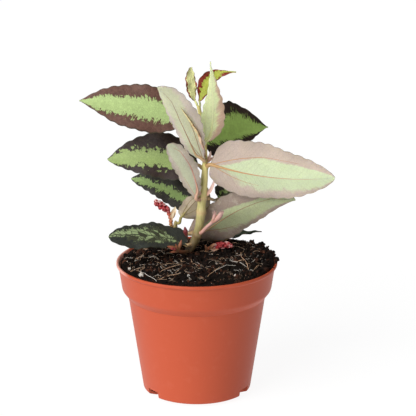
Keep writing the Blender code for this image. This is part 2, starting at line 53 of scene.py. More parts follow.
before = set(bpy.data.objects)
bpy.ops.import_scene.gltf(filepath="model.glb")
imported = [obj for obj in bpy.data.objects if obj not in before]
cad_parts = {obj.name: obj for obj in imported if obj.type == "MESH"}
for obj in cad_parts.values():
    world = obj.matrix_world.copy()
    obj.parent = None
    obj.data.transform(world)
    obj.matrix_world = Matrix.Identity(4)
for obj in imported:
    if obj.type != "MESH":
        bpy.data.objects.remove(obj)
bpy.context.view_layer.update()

MM = 0.001
GAP = 0.3

# Pot
BAND_RADIUS = 38.85
BAND_FOOT_RADIUS = 37.2
BAND_FOOT_HEIGHT = 54.3
WAIST_RADIUS = 34.2
WAIST_HEIGHT = 50.3
BODY_FOOT_RADIUS = 27.3
BODY_FOOT_HEIGHT = 4.0
BODY_EDGE_HEIGHT = 2.0
FOOT_RADIUS = 22.4
CENTRE_PAD_RADIUS = 12.8
CHANNEL_HEIGHT = 2.6
CHANNEL_OUTER_RADIUS = 20.8
NOTCH_ANGLES = (-143.5, -30.0, 93.5)
NOTCH_WIDTH = 8.0
NOTCH_HEIGHT = 4.9
NOTCH_OVERRUN = 4.0
NOTCH_INSET = 0.4
CORNER_REACH = 0.5
CORNER_SHARE = 0.45
TURN_STEPS = 144

# Soil
SOIL_EDGE_HEIGHT = 66.6
SOIL_CROWN = 4.2
SOIL_LUMP = 0.7
HEAP_PLACE = (28.0, 16.0)
HEAP_HEIGHT = 2.4
HEAP_SPREAD = 10.0
SOIL_RADIUS = 37.5
CROWN_RADIUS = 38.0
SOIL_SEED = 11

# Stems
STEM_PATH = (
    (-4.2, 1.0, 54.0), (-4.2, 1.0, 69.0), (-3.4, 1.0, 73.0), (-1.4, 1.0, 76.6), (0.4, 1.0, 81.5),
    (2.0, 1.0, 90.0), (2.8, 1.0, 101.0), (3.9, 1.0, 111.0), (4.2, 1.0, 120.0), (3.9, 1.3, 128.0),
    (2.6, 2.3, 137.0), (1.0, 3.0, 145.8),
)
STEM_FOOT_RADIUS = 2.15
STEM_TIP_RADIUS = 0.95
STEM_THINS_FROM = 100.0
STEM_THINS_OVER = 26.0
STEM_NODES = (80.5, 92.5, 100.0, 115.5, 119.5, 129.0, 138.0)
NODE_SWELL = 0.4
NODE_SPREAD = 1.3
SHOOT_PATH = ((-10.4, 6.6, 56.0), (-10.4, 6.6, 72.0), (-10.8, 6.4, 79.0), (-10.5, 6.4, 86.2))
BACK_SHOOT_PATH = ((0.5, 15.5, 56.0), (0.5, 15.5, 72.0), (1.0, 15.2, 82.0), (1.6, 14.8, 92.4))
SHOOT_RADIUS = 1.1

# Leaves
VEIN_SLANT = 0.75
VEIN_SPACING = 3.1
VEIN_TURN = 0.24
VEIN_RADIUS = 0.15
VEIN_TIP_RADIUS = 0.04
VEIN_STEPS = 34
VEIN_SIDES = 8
RIB_RADIUS = 0.22
RIB_THINNING = 0.13
RIB_END = 0.97
RIB_STEPS = 40
RIB_SIDES = 12
RIB_FADE = 7
PETIOLE_STEPS = 14
PETIOLE_THINNING = 0.85
PETIOLE_DEPTH = 0.8
PETIOLE_ROOT = 0.6
EDGE_THINNING = 0.45
TOOTH_ZONE = 0.6
TOOTH_SHARPNESS = 3.2
FOLD_SOFTNESS = 0.6
UNEVEN = 0.12


def tint(red, green, blue):
    """A colour given in the 0 to 255 steps of a screen, as the plain light that a shader uses."""
    steps = [value / 255 for value in (red, green, blue)]
    return tuple(step / 12.92 if step <= 0.04045 else ((step + 0.055) / 1.055) ** 2.4 for step in steps)


def length_property(name, description, default):
    """A length that the panel shows in the scene's units."""
    return FloatProperty(name=name, description=description, default=default, min=0.0, unit="LENGTH",
                         subtype="DISTANCE")


def colour_property(name, description, default):
    """A colour that the panel shows as a swatch."""
    return FloatVectorProperty(name=name, description=description, default=default, size=3, min=0.0,
                               max=1.0, subtype="COLOR")


def count_property(name, description, default, least=0):
    """A whole number that can't be below the least one."""
    return IntProperty(name=name, description=description, default=default, min=least)


def strength_property(name, description, default):
    """The strength of a light, or another number above 0."""
    return FloatProperty(name=name, description=description, default=default, min=0.0)


def angle_property(name, description, degrees):
    """An angle that the panel shows in degrees."""
    return FloatProperty(name=name, description=description, default=math.radians(degrees), unit="ROTATION",
                         subtype="ANGLE")


def shaded(colour, share):
    """A colour with a share of its light, darker below 1 and lighter above."""
    return [min(1.0, part * share) for part in colour]


class PotSettings(PropertyGroup):
    """The plastic nursery pot."""
    height: length_property("Height", "Height of the rim above the surface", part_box("pot")[1].z)
    lip_radius: length_property("Lip Radius", "Outer radius of the rim's lip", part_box("pot")[1].x)
    wall: length_property("Wall", "Thickness of the plastic", 1.0 * MM)
    plastic: colour_property("Plastic", "Colour of the pot", tint(187, 82, 53))
    roughness: FloatProperty(name="Roughness", description="Roughness of the plastic", default=0.46,
                             min=0.0, max=1.0, subtype="FACTOR")


class SoilSettings(PropertyGroup):
    """The peat and coir mix."""
    crumbs: count_property("Crumbs", "Number of loose crumbs", 1700)
    fibres: count_property("Fibres", "Number of coir fibres", 380)
    grains: count_property("Perlite", "Number of perlite grains and light crumbs", 300)
    peat: colour_property("Peat", "Colour of the mix", tint(27, 19, 15))
    peat_light: colour_property("Dry Peat", "Colour of its drier crumbs", tint(94, 58, 42))
    fibre: colour_property("Fibre", "Colour of the coir fibres", tint(240, 190, 148))
    perlite: colour_property("Perlite", "Colour of the perlite grains", tint(226, 220, 212))


class StemSettings(PropertyGroup):
    """The stems."""
    green: colour_property("Green", "Colour of the stem", tint(200, 190, 128))
    foot: colour_property("Foot", "Colour of the stem at the soil", tint(84, 60, 38))
    blush: colour_property("Blush", "Colour of the stipules and young growth", tint(214, 150, 128))


class LeafSettings(PropertyGroup):
    """All the leaves."""
    blade: length_property("Blade", "Thickness of a blade", 0.42 * MM)
    columns: count_property("Columns", "Points across a blade", 29, least=5)
    rows_per_tooth: count_property("Rows per Tooth", "Points along a tooth", 8, least=2)
    quilting: length_property("Quilting", "Height of the blade between its side veins", 0.06 * MM)


class FlowerSettings(PropertyGroup):
    """The flower bunches."""
    red: colour_property("Red", "Colour of the buds", tint(168, 52, 56))
    stalk: colour_property("Stalk", "Colour of the stalks", tint(188, 88, 66))
    pale: colour_property("Pale", "Colour of the open flowers", tint(238, 196, 190))


class StageSettings(PropertyGroup):
    """The floor, the lights and the camera."""
    distance: length_property("Camera Distance", "Distance of the camera in front of the pot", 0.9)
    height: length_property("Camera Height", "Height of the camera", 0.3675)
    pitch: angle_property("Pitch", "Angle of the view below the horizon", 16.861)
    pan: angle_property("Pan", "Angle of the view towards the right", 0.354)
    lens: FloatProperty(name="Lens", description="Focal length in millimetres", default=165.26, min=1.0)
    floor: colour_property("Floor", "Colour of the floor", (0.1, 0.1, 0.1))
    glow: strength_property("Floor Glow", "Light that the floor gives off itself", 0.93)
    key: strength_property("Key Light", "Strength of the light from the front left", 3.35)
    top: strength_property("Top Light", "Strength of the light from above", 0.55)
    sky: strength_property("Sky", "Strength of the light from all round", 0.02)


class BegoniaSettings(PropertyGroup):
    """Everything that can be changed on the plant and its stage."""
    pot: PointerProperty(type=PotSettings)
    soil: PointerProperty(type=SoilSettings)
    stem: PointerProperty(type=StemSettings)
    leaf: PointerProperty(type=LeafSettings)
    flower: PointerProperty(type=FlowerSettings)
    stage: PointerProperty(type=StageSettings)


class Link:
    """A socket of a shader, which can be used in an expression like a number."""

    def __init__(self, shader, socket):
        self.shader = shader
        self.socket = socket

    def math(self, operation, *values):
        """A maths node fed by links and numbers."""
        inputs = dict(enumerate(values))
        return self.shader.node("ShaderNodeMath", {"operation": operation}, inputs)

    def __add__(self, other):
        return self.math("ADD", self, other)

    __radd__ = __add__

    def __sub__(self, other):
        return self.math("SUBTRACT", self, other)

    def __rsub__(self, other):
        return self.math("SUBTRACT", other, self)

    def __mul__(self, other):
        return self.math("MULTIPLY", self, other)

    __rmul__ = __mul__

    def __abs__(self):
        return self.math("ABSOLUTE", self)

    def __gt__(self, other):
        return self.math("GREATER_THAN", self, other)

    def fraction(self):
        return self.math("FRACT", self)

    def smooth(self, low, high):
        """0 below low, 1 above high and a smooth step between."""
        return self.shader.node("ShaderNodeMapRange", {"interpolation_type": "SMOOTHSTEP"},
                                {"Value": self, "From Min": low, "From Max": high})


class Shader:
    """A material whose nodes are added as its expressions are written."""

    def __init__(self, name):
        self.material = bpy.data.materials.new(name)
        self.material.use_nodes = True
        self.tree = self.material.node_tree
        self.surface = self.tree.nodes["Principled BSDF"]

    def node(self, kind, settings=None, inputs=None, output=0):
        """Adds a node, sets it up, feeds its inputs and returns one of its outputs."""
        made = self.tree.nodes.new(kind)
        for key, value in (settings or {}).items():
            setattr(made, key, value)
        for key, value in (inputs or {}).items():
            self.feed(made.inputs[key], value)
        return Link(self, made.outputs[output])

    def feed(self, socket, value):
        """Links a socket to a varying value, or sets it to a fixed one."""
        if isinstance(value, Link):
            self.tree.links.new(value.socket, socket)
        elif socket.type == "RGBA":
            socket.default_value = (*tuple(value)[:3], 1.0)
        else:
            socket.default_value = value

    def mix(self, share, low, high):
        """A colour between two others."""
        return self.node("ShaderNodeMix", {"data_type": "RGBA"}, {0: share, 6: low, 7: high}, 2)

    def layers(self, colour, *layers):
        """A colour under others, each given with its share."""
        for share, over in layers:
            colour = self.mix(share, colour, over)
        return colour

    def vector(self, x, y, z):
        return self.node("ShaderNodeCombineXYZ", None, {0: x, 1: y, 2: z})

    def split(self, vector):
        """The three parts of a vector."""
        return [self.node("ShaderNodeSeparateXYZ", None, {0: vector}, i) for i in range(3)]

    def noise(self, place, scale=1.0, detail=2.0, roughness=0.5):
        return self.node("ShaderNodeTexNoise", None, {"Vector": place, "Scale": scale, "Detail": detail,
                                                      "Roughness": roughness})

    def cells(self, place, scale):
        """The distance to the nearest border of a net of cells."""
        return self.node("ShaderNodeTexVoronoi", {"feature": "DISTANCE_TO_EDGE"},
                         {"Vector": place, "Scale": scale})

    def patches(self, place, scale):
        """A random shade for each cell of such a net."""
        return self.node("ShaderNodeTexVoronoi", {"feature": "F1"}, {"Vector": place, "Scale": scale},
                         "Color")

    def attribute(self, name):
        """The three parts of a vector that the mesh holds."""
        return self.split(self.node("ShaderNodeAttribute", {"attribute_name": name}, None, "Vector"))

    def position(self):
        """The place in metres, in the part's own frame."""
        return self.node("ShaderNodeTexCoord", None, None, "Object")

    def finish(self, colour, roughness, bump=None, depth=0.0, **fixed):
        """Feeds the surface and returns the material. depth is the bump's height in metres."""
        self.feed(self.surface.inputs["Base Color"], colour)
        self.feed(self.surface.inputs["Roughness"], roughness)
        if bump is not None:
            normal = self.node("ShaderNodeBump", None, {"Strength": 1.0, "Distance": depth, "Height": bump})
            self.feed(self.surface.inputs["Normal"], normal)
        for key, value in fixed.items():
            self.surface.inputs[key.replace("_", " ")].default_value = value
        return self.material


class Shape:
    """The points and faces of one piece, gathered part by part, in millimetres."""

    def __init__(self):
        self.points = []
        self.places = []
        self.faces = []
        self.slots = []
        self.count = 0

    def add(self, points, faces, slot=0, place=(0.0, 0.0, 0.0)):
        """Adds some points and faces; place is what the materials read there."""
        points = np.asarray(points, float).reshape(-1, 3)
        self.points.append(points)
        self.places.append(np.broadcast_to(np.asarray(place, float), points.shape))
        self.faces += [[index + self.count for index in face] for face in faces]
        self.slots += [slot] * len(faces) if isinstance(slot, int) else slot
        self.count += len(points)

    def loft(self, rings, slot=0, place=(0.0, 0.0, 0.0)):
        """A closed skin through rings of equally many points, with a flat cap at each end."""
        rings = np.asarray(rings, float)
        length, around = rings.shape[:2]
        faces = [(i * around + j, i * around + (j + 1) % around, (i + 1) * around + (j + 1) % around,
                  (i + 1) * around + j) for i in range(length - 1) for j in range(around)]
        last = (length - 1) * around
        faces += [tuple(reversed(range(around))), tuple(range(last, last + around))]
        if not isinstance(slot, int):
            slot = list(slot) * (length - 1) + [slot[0]] * 2
        self.add(rings, faces, slot, place)

    def tube(self, path, radii, sides=12, slot=0, place=(0.0, 0.0, 0.0)):
        """A closed tube round a path."""
        self.loft(tube_rings(path, radii, sides), slot, place)

    def piece(self, name, materials, replaces=(), slot=None):
        """Makes the object, lets it ride on the root and hides the parts that it replaces."""
        mesh = bpy.data.meshes.new(name)
        mesh.from_pydata(np.concatenate(self.points) * MM, [], self.faces)
        mesh.polygons.foreach_set("material_index", self.slots)
        place = mesh.attributes.new("place", "FLOAT_VECTOR", "POINT")
        place.data.foreach_set("vector", np.concatenate(self.places).astype(np.float32).ravel())
        work = bmesh.new()
        work.from_mesh(mesh)
        bmesh.ops.recalc_face_normals(work, faces=work.faces)
        work.to_mesh(mesh)
        work.free()
        for material in materials:
            mesh.materials.append(material)
        return dressed(name, mesh, replaces)


def dressed(name, mesh, replaces, angle=50.0):
    """An object from a finished mesh, shaded smooth, that rides on the root."""
    mesh.shade_smooth()
    mesh.set_sharp_from_angle(angle=math.radians(angle))
    piece = bpy.data.objects.new(name, mesh)
    bpy.context.scene.collection.objects.link(piece)
    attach(piece, "root")
    if replaces:
        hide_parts(*replaces)
    return piece


def unit(vectors):
    """The same directions with a length of 1."""
    return vectors / np.maximum(np.linalg.norm(vectors, axis=-1, keepdims=True), 1e-9)


def tube_rings(path, radii, sides):
    """Rings round a path that don't twist along it."""
    path = np.asarray(path, float)
    radii = np.broadcast_to(np.asarray(radii, float), (len(path),))
    along = unit(np.gradient(path, axis=0))
    start = np.array((0.0, 1.0, 0.0)) if abs(along[0][1]) < 0.8 else np.array((1.0, 0.0, 0.0))
    across = unit(np.cross(along[0], start))
    turns = np.linspace(0, math.tau, sides, endpoint=False)
    rings = []
    for point, way, radius in zip(path, along, radii):
        across = unit(across - way * across.dot(way))
        up = np.cross(way, across)
        rings.append(point + radius * (np.cos(turns)[:, None] * across + np.sin(turns)[:, None] * up))
    return np.array(rings)


def smooth_path(points, per_span):
    """Points along a smooth curve through the given ones."""
    guides = np.asarray(points, float)
    guides = np.vstack((guides[0] * 2 - guides[1], guides, guides[-1] * 2 - guides[-2]))
    path = []
    for before, start, end, after in zip(guides, guides[1:], guides[2:], guides[3:]):
        for k in range(per_span):
            t = k / per_span
            path.append(0.5 * (2 * start + (end - before) * t
                               + (2 * before - 5 * start + 4 * end - after) * t ** 2
                               + (3 * start - before - 3 * end + after) * t ** 3))
    path.append(guides[-2])
    return np.array(path)


def marks(first, around, second=0.0):
    """What the materials read on a skin of rings: a first and a second value for each ring."""
    first, second = np.broadcast_arrays(np.asarray(first, float), second)
    return np.repeat(np.stack((first, second, np.zeros(len(first))), 1), around, axis=0)


def shares(count, around):
    """The same for a skin whose first value is the share of the way along."""
    return marks(np.linspace(0, 1, count), around)


def ball_mesh(level):
    """The points and faces of a ball of radius 1."""
    work = bmesh.new()
    bmesh.ops.create_icosphere(work, subdivisions=level, radius=1.0)
    points = np.array([vert.co for vert in work.verts])
    faces = [tuple(vert.index for vert in face.verts) for face in work.faces]
    work.free()
    return points, faces


def lumpy(points, seed, amount, scale=1.6):
    """Moves the points of a ball in and out at random."""
    offset = Vector((seed * 3.7, seed * 1.3, seed * 2.1))
    pushes = [1 + amount * noise.noise(Vector(point) * scale + offset) for point in points]
    return points * np.array(pushes)[:, None]


# Pot

def pot_profile(settings):
    """The pot's section, from the middle of its floor, out and up the inside and down the outside."""
    wall, height, lip = settings.wall / MM, settings.height / MM, settings.lip_radius / MM
    return [
        (0.0, wall), (CENTRE_PAD_RADIUS - 0.8, wall), (CENTRE_PAD_RADIUS, CHANNEL_HEIGHT + wall),
        (CHANNEL_OUTER_RADIUS + 0.7, CHANNEL_HEIGHT + wall), (FOOT_RADIUS - 0.6, wall + 0.1),
        (FOOT_RADIUS + 0.5, wall + 0.1), (BODY_FOOT_RADIUS - 1.6, BODY_EDGE_HEIGHT + 0.9),
        (BODY_FOOT_RADIUS - wall + 0.1, BODY_FOOT_HEIGHT + 0.6), (WAIST_RADIUS - wall, WAIST_HEIGHT + 0.2),
        (WAIST_RADIUS - wall + 0.2, WAIST_HEIGHT + 0.7), (WAIST_RADIUS + 0.2, WAIST_HEIGHT + 1.7),
        (BAND_FOOT_RADIUS - 1.4, BAND_FOOT_HEIGHT - 0.8),
        (BAND_FOOT_RADIUS - wall + 0.05, BAND_FOOT_HEIGHT + 0.4),
        (BAND_RADIUS - wall, height - 2.2), (BAND_RADIUS - 0.5, height - 1.0), (lip - wall, height),
        (lip - 0.25, height), (lip, height - 0.3), (lip, height - 1.2), (lip - 0.3, height - 1.6),
        (BAND_RADIUS, height - 2.1), (BAND_FOOT_RADIUS, BAND_FOOT_HEIGHT),
        (BAND_FOOT_RADIUS - 0.4, BAND_FOOT_HEIGHT - 0.9), (WAIST_RADIUS + 0.5, WAIST_HEIGHT + 0.4),
        (WAIST_RADIUS, WAIST_HEIGHT), (BODY_FOOT_RADIUS, BODY_FOOT_HEIGHT),
        (BODY_FOOT_RADIUS - 0.3, BODY_EDGE_HEIGHT), (BODY_FOOT_RADIUS - 0.7, BODY_EDGE_HEIGHT - 0.4),
        (FOOT_RADIUS, 0.0), (FOOT_RADIUS - 1.2, 0.0),
        (CHANNEL_OUTER_RADIUS, CHANNEL_HEIGHT), (CENTRE_PAD_RADIUS + 0.8, CHANNEL_HEIGHT),
        (CENTRE_PAD_RADIUS, 0.0), (0.0, 0.0),
    ]


def rounded(points, reach):
    """A polyline with a small arc in place of each corner but the first and last."""
    points = [Vector(point) for point in points]
    path = [points[0]]
    for before, corner, after in zip(points, points[1:], points[2:]):
        start = corner + (before - corner) * min(CORNER_SHARE, reach / (before - corner).length)
        end = corner + (after - corner) * min(CORNER_SHARE, reach / (after - corner).length)
        for t in (0.0, 0.33, 0.67, 1.0):
            path.append(start * (1 - t) ** 2 + corner * 2 * t * (1 - t) + end * t * t)
    path.append(points[-1])
    return path


def pot_plastic(settings):
    """Moulded plastic: even colour with faint flow marks, a satin skin, and a painted sheen that makes the
    lip paler on its left side, where light grazes it.
    """
    shader = Shader("pot_plastic")
    place = shader.position()
    flow = shader.noise(place, 30.0, 3.0)
    dust = shader.noise(place, 220.0, 3.0)
    grain = shader.noise(place, 1400.0, 2.0)
    x, _, z = shader.split(place)
    # Painted sheen: the top of the lip on the left is painted pale pink, in place of the light that grazes it
    # there.
    painted_lip_sheen = (1 - x.smooth(-0.0375, -0.0325)) * z.smooth(0.0648, 0.0656) * (flow * 0.3 + 0.7)
    colour = shader.layers(
        settings.plastic,
        (flow.smooth(0.3, 0.7) * 0.3, shaded(settings.plastic, 0.93)),
        (dust.smooth(0.55, 0.8) * 0.05, tint(220, 140, 116)),
        (painted_lip_sheen, tint(232, 172, 158)))
    rough = flow * 0.08 + dust * 0.06 + (settings.roughness - 0.07)
    return shader.finish(colour, rough, grain, 0.00001, Specular_IOR_Level=0.2)


def notch_cutter(angle):
    """A block that cuts one drain notch through the foot, from the channel outwards."""
    reach = BODY_FOOT_RADIUS + NOTCH_OVERRUN - CHANNEL_OUTER_RADIUS
    middle = CHANNEL_OUTER_RADIUS + reach / 2 - NOTCH_INSET
    mesh = bpy.data.meshes.new("notch")
    work = bmesh.new()
    bmesh.ops.create_cube(work, size=1.0)
    bmesh.ops.scale(work, vec=Vector((reach, NOTCH_WIDTH, 2 * NOTCH_HEIGHT)) * MM, verts=work.verts)
    bmesh.ops.translate(work, vec=Vector((middle * MM, 0.0, 0.0)), verts=work.verts)
    bmesh.ops.rotate(work, cent=(0, 0, 0), matrix=Matrix.Rotation(math.radians(angle), 3, "Z"),
                     verts=work.verts)
    work.to_mesh(mesh)
    work.free()
    cutter = bpy.data.objects.new("notch", mesh)
    bpy.context.scene.collection.objects.link(cutter)
    return cutter


def build_pot(settings):
    """The pot, turned from its section and cut by three drain notches."""
    section = rounded(pot_profile(settings), CORNER_REACH)
    mesh = bpy.data.meshes.new("pot_shell")
    mesh.from_pydata([(point.x * MM, 0.0, point.y * MM) for point in section],
                     [(i, i + 1) for i in range(len(section) - 1)], [])
    form = bpy.data.objects.new("pot_form", mesh)
    bpy.context.scene.collection.objects.link(form)
    screw = form.modifiers.new("Turn", "SCREW")
    screw.steps = screw.render_steps = TURN_STEPS
    screw.use_merge_vertices = True
    screw.merge_threshold = 0.00001
    cutters = [notch_cutter(angle) for angle in NOTCH_ANGLES]
    for cutter in cutters:
        notch = form.modifiers.new("Notch", "BOOLEAN")
        notch.operation = "DIFFERENCE"
        notch.object = cutter
        notch.solver = "EXACT"
    bpy.context.view_layer.update()
    done = bpy.data.meshes.new_from_object(form.evaluated_get(bpy.context.evaluated_depsgraph_get()))
    for old in cutters + [form]:
        bpy.data.objects.remove(old)
    done.materials.clear()
    done.materials.append(pot_plastic(settings))
    dressed("pot_shell", done, ["pot"], angle=35.0)


# Soil

def soil_height(x, y):
    """The heaped surface of the soil."""
    edge = max(0.0, 1.0 - (math.hypot(x, y) / CROWN_RADIUS) ** 2)
    lump = noise.noise(Vector((x * 0.16, y * 0.16, 3.7)))
    lump += 0.5 * noise.noise(Vector((x * 0.45, y * 0.45, 9.1)))
    away = math.dist((x, y), HEAP_PLACE) / HEAP_SPREAD
    return SOIL_EDGE_HEIGHT + SOIL_CROWN * edge + SOIL_LUMP * lump + HEAP_HEIGHT * math.exp(-away ** 2 / 2)


def round_pot(radius, turn):
    """The x and y of a place at some distance from the pot's middle."""
    return radius * math.cos(turn), radius * math.sin(turn)


def crumbled(x, y):
    """The same surface with its crumbs."""
    coarse = noise.noise(Vector((x * 0.9, y * 0.9, 1.3))) * 0.5
    return soil_height(x, y) + (coarse + noise.noise(Vector((x * 2.2, y * 2.2, 5.1))) * 0.3)


def peat(settings):
    """Dark crumbly peat, with drier brown crumbs."""
    shader = Shader("peat")
    shade = shader.attribute("place")[0]
    place = shader.position()
    patch = shader.noise(place, 160.0, 4.0, 0.6)
    grain = shader.noise(place, 1100.0, 4.0, 0.7)
    dry = (patch * 0.5 + grain * 0.3 + shade * 0.45).smooth(0.66, 0.98)
    colour = shader.layers(
        shaded(settings.peat, 0.45), (grain.smooth(0.35, 0.7), settings.peat),
        (dry, settings.peat_light))
    return shader.finish(colour, grain * 0.2 + 0.7, grain, 0.0005, Specular_IOR_Level=0.12)


def coir(settings):
    """Coir fibres, from nearly black through tan to a bleached grey."""
    shader = Shader("coir")
    shade = shader.attribute("place")[0]
    streak = shader.noise(shader.position(), 600.0, 2.0)
    bleached = (shade * 7.3).fraction() > 0.62
    colour = shader.layers(
        shaded(settings.fibre, 0.12), (shade, settings.fibre),
        (bleached * shade.smooth(0.2, 0.8), tint(226, 220, 212)),
        (streak * 0.3, tint(246, 226, 200)))
    return shader.finish(colour, 0.65, streak, 0.0001)


def perlite(settings):
    """Pitted perlite grains, and light crumbs of bark among them."""
    shader = Shader("perlite")
    shade = shader.attribute("place")[0]
    pits = shader.noise(shader.position(), 1500.0, 3.0)
    colour = shader.layers(
        tint(150, 138, 124), (pits.smooth(0.3, 0.6), settings.perlite),
        (shade.smooth(0.3, 0.7), tint(142, 96, 70)))
    return shader.finish(colour, 0.8, pits, 0.0003)


LONG_FIBRES = (
    ((22.1, 4.1), (25.2, -19.2)), ((26.0, -10.0), (30.2, 1.0)), ((26.7, -19.2), (31.9, -8.5)),
    ((-28.4, -17.7), (-19.3, -31.0)), ((-16.8, -8.4), (-27.5, 4.1)), ((-28.1, -8.4), (-26.2, 9.0)),
    ((-18.0, -22.2), (-5.9, -13.1)), ((3.8, -34.0), (11.1, -17.7)), ((-4.0, -26.0), (-18.0, -30.0)),
    ((8.0, -22.0), (19.0, -15.0)), ((14.0, -8.0), (24.0, -14.0)),
)
FIBRE_STEPS = 8
LONG_FIBRE_RADIUS = 0.1
LONG_FIBRE_RISE = 0.9
FIBRE_ZONE = 35.0
FIBRE_LIMIT = 36.4
LONG_STRAYS = (5.0, 12.0)
SHORT_STRAYS = (1.2, 4.5)
LONG_STRAY_EVERY = 6
STRAY_RISES = (-0.1, 0.8)
STRAY_RADII = (0.035, 0.08)
CRUMB_FORMS = 12
CRUMB_LEAST = 0.28
CRUMB_RANGE = 0.95
RIM_CRUMBS = 150
RIM_CRUMB_TURN = (0.28, 0.3)
RIM_CRUMB_RADII = (35.5, 39.8)
RIM_TOP = 67.5
GRAIN_ZONE = 35.5
GRAIN_SIZES = (0.1, 0.26)
LARGE_GRAINS = ((-26.9, -23.5, 1.15), (-33.0, -13.6, 0.7), (-3.9, -29.1, 0.75), (18.6, -25.0, 0.6))
BED_TURNS = 150
BED_RINGS = 75
BED_MIDDLE = 0.6
BED_WALL = (
    (BAND_RADIUS - 2.1, 60.0), (BAND_FOOT_RADIUS - 1.4, BAND_FOOT_HEIGHT + 0.5),
    (BAND_FOOT_RADIUS - 2.0, BAND_FOOT_HEIGHT - 0.5), (WAIST_RADIUS - 0.3, WAIST_HEIGHT + 1.9),
    (WAIST_RADIUS - 1.3, WAIST_HEIGHT + 0.3), (BODY_FOOT_RADIUS - 1.4, 4.9), (BODY_FOOT_RADIUS - 2.6, 4.2),
)


def fibre_path(start, end, rise, rng):
    """A slack line over the soil that bends a little and dips at both ends."""
    start, end = Vector(start), Vector(end)
    side = (end - start).orthogonal().normalized() * (end - start).length
    bend = rng.uniform(-0.09, 0.09)
    second = rng.uniform(-0.03, 0.03)
    path = []
    for k in range(FIBRE_STEPS + 1):
        t = k / FIBRE_STEPS
        place = start.lerp(end, t) + side * (bend * math.sin(math.pi * t) + second * math.sin(math.tau * t))
        lift = rise * math.sin(math.pi * t) - 0.15
        path.append((place.x, place.y, soil_height(place.x, place.y) + lift + 0.45))
    return path


def build_bed(soil):
    """The root ball down to the pot's floor, with its crumbled top."""
    bed = Shape()
    turns = np.linspace(0, math.tau, BED_TURNS, endpoint=False)
    radii = [BED_MIDDLE + (SOIL_RADIUS - BED_MIDDLE) * (k / (BED_RINGS - 1)) for k in range(BED_RINGS)]
    rings = [[(*round_pot(radius, turn), crumbled(*round_pot(radius, turn))) for turn in turns]
             for radius in radii]
    rings += [[(*round_pot(radius, turn), z) for turn in turns] for radius, z in BED_WALL]
    bed.loft(rings, place=(0.3, 0.0, 0.0))
    bed.piece("soil_bed", [soil], ["soil"], "soil")


def build_crumbs(count, soil, rng):
    """Loose crumbs all over the soil, and more of them on the rim at the right."""
    crumbs = Shape()
    points, faces = ball_mesh(2)
    forms = [lumpy(points, seed, 0.7) for seed in range(CRUMB_FORMS)]
    for index in range(count + RIM_CRUMBS):
        turn = rng.uniform(0, math.tau)
        radius = SOIL_RADIUS * math.sqrt(rng.random()) * 0.99
        size = CRUMB_LEAST + CRUMB_RANGE * rng.random() ** 3
        if index >= count:
            turn, radius = rng.gauss(*RIM_CRUMB_TURN), rng.uniform(*RIM_CRUMB_RADII)
        x, y = round_pot(radius, turn)
        stretch = np.array([size * rng.uniform(0.7, 1.4) for _ in range(3)])
        spin = np.array(Matrix.Rotation(rng.uniform(0, math.tau), 3, (rng.random(), rng.random(), 0.5)))
        form = (forms[index % CRUMB_FORMS] * stretch) @ spin
        ground = max(crumbled(x, y), RIM_TOP if radius > SOIL_RADIUS else 0.0)
        crumbs.add(form + (x, y, ground + 0.25 * size), faces, 0, (rng.random(), 0.0, 0.0))
    crumbs.piece("soil_crumbs", [soil], (), "soil")


def build_fibres(settings, rng):
    """The long fibres, each in its place, and stray ones at random, some of them longer."""
    fibres = Shape()
    for start, end in LONG_FIBRES:
        path = fibre_path(start, end, LONG_FIBRE_RISE, rng)
        fibres.tube(path, LONG_FIBRE_RADIUS, 5, 0, (rng.uniform(0.8, 1.0), 0.0, 0.0))
    for index in range(settings.fibres):
        radius = FIBRE_ZONE * rng.uniform(0.06, 1.0) ** 0.5
        turn = rng.uniform(0, math.tau)
        start = Vector(round_pot(radius, turn))
        way = rng.uniform(0, math.tau)
        length = rng.uniform(*(SHORT_STRAYS if index % LONG_STRAY_EVERY else LONG_STRAYS))
        end = start + Vector((math.cos(way), math.sin(way))) * length
        if end.length > FIBRE_LIMIT:
            end *= FIBRE_LIMIT / end.length
        path = fibre_path(start, end, rng.uniform(*STRAY_RISES), rng)
        fibres.tube(path, rng.uniform(*STRAY_RADII), 5, 0, (rng.random(), 0.0, 0.0))
    fibres.piece("coir_fibres", [coir(settings)], (), "soil")


def build_grains(settings, rng):
    """The large perlite grains, each in its place, and small ones at random."""
    grains = Shape()
    places = list(LARGE_GRAINS)
    while len(places) < settings.grains:
        radius, turn = GRAIN_ZONE * math.sqrt(rng.random()), rng.uniform(0, math.tau)
        places.append((*round_pot(radius, turn), rng.uniform(*GRAIN_SIZES)))
    fine, coarse = ball_mesh(3), ball_mesh(2)
    for index, (x, y, size) in enumerate(places):
        large = index < len(LARGE_GRAINS)
        points, faces = fine if large else coarse
        form = lumpy(points, index + 40, 0.5, 2.2) * size
        shade = 0.0 if large else rng.random()
        grains.add(form + (x, y, crumbled(x, y) + size * 0.7), faces, 0, (shade, 0.0, 0.0))
    grains.piece("perlite_grains", [perlite(settings)], (), "soil")


def build_soil(settings):
    """The root ball, its loose crumbs, its fibres and its perlite."""
    rng = random.Random(SOIL_SEED)
    soil = peat(settings)
    build_bed(soil)
    build_crumbs(settings.crumbs, soil, rng)
    build_fibres(settings, rng)
    build_grains(settings, rng)


# Stems

def at_height(path, height):
    """The point of a rising path at the given height, and the path's direction there."""
    for low, high in zip(path, path[1:]):
        if low[2] <= height <= high[2]:
            share = (height - low[2]) / (high[2] - low[2])
            return Vector(low).lerp(Vector(high), share), Vector(high - low).normalized()
    raise ValueError(f"the path doesn't reach {height}")


def node_share(height):
    """1 at the middle of a node and 0 away from all of them."""
    return min(sum(math.exp(-((height - node) / NODE_SPREAD) ** 2) for node in STEM_NODES), 1.0)


def stem_radius(height):
    """The stem thins toward its tip and swells at each node."""
    t = min(max((height - STEM_THINS_FROM) / STEM_THINS_OVER, 0.0), 1.0)
    thin = STEM_FOOT_RADIUS + (STEM_TIP_RADIUS - STEM_FOOT_RADIUS) * t * t * (3 - 2 * t)
    return thin + NODE_SWELL * node_share(height)


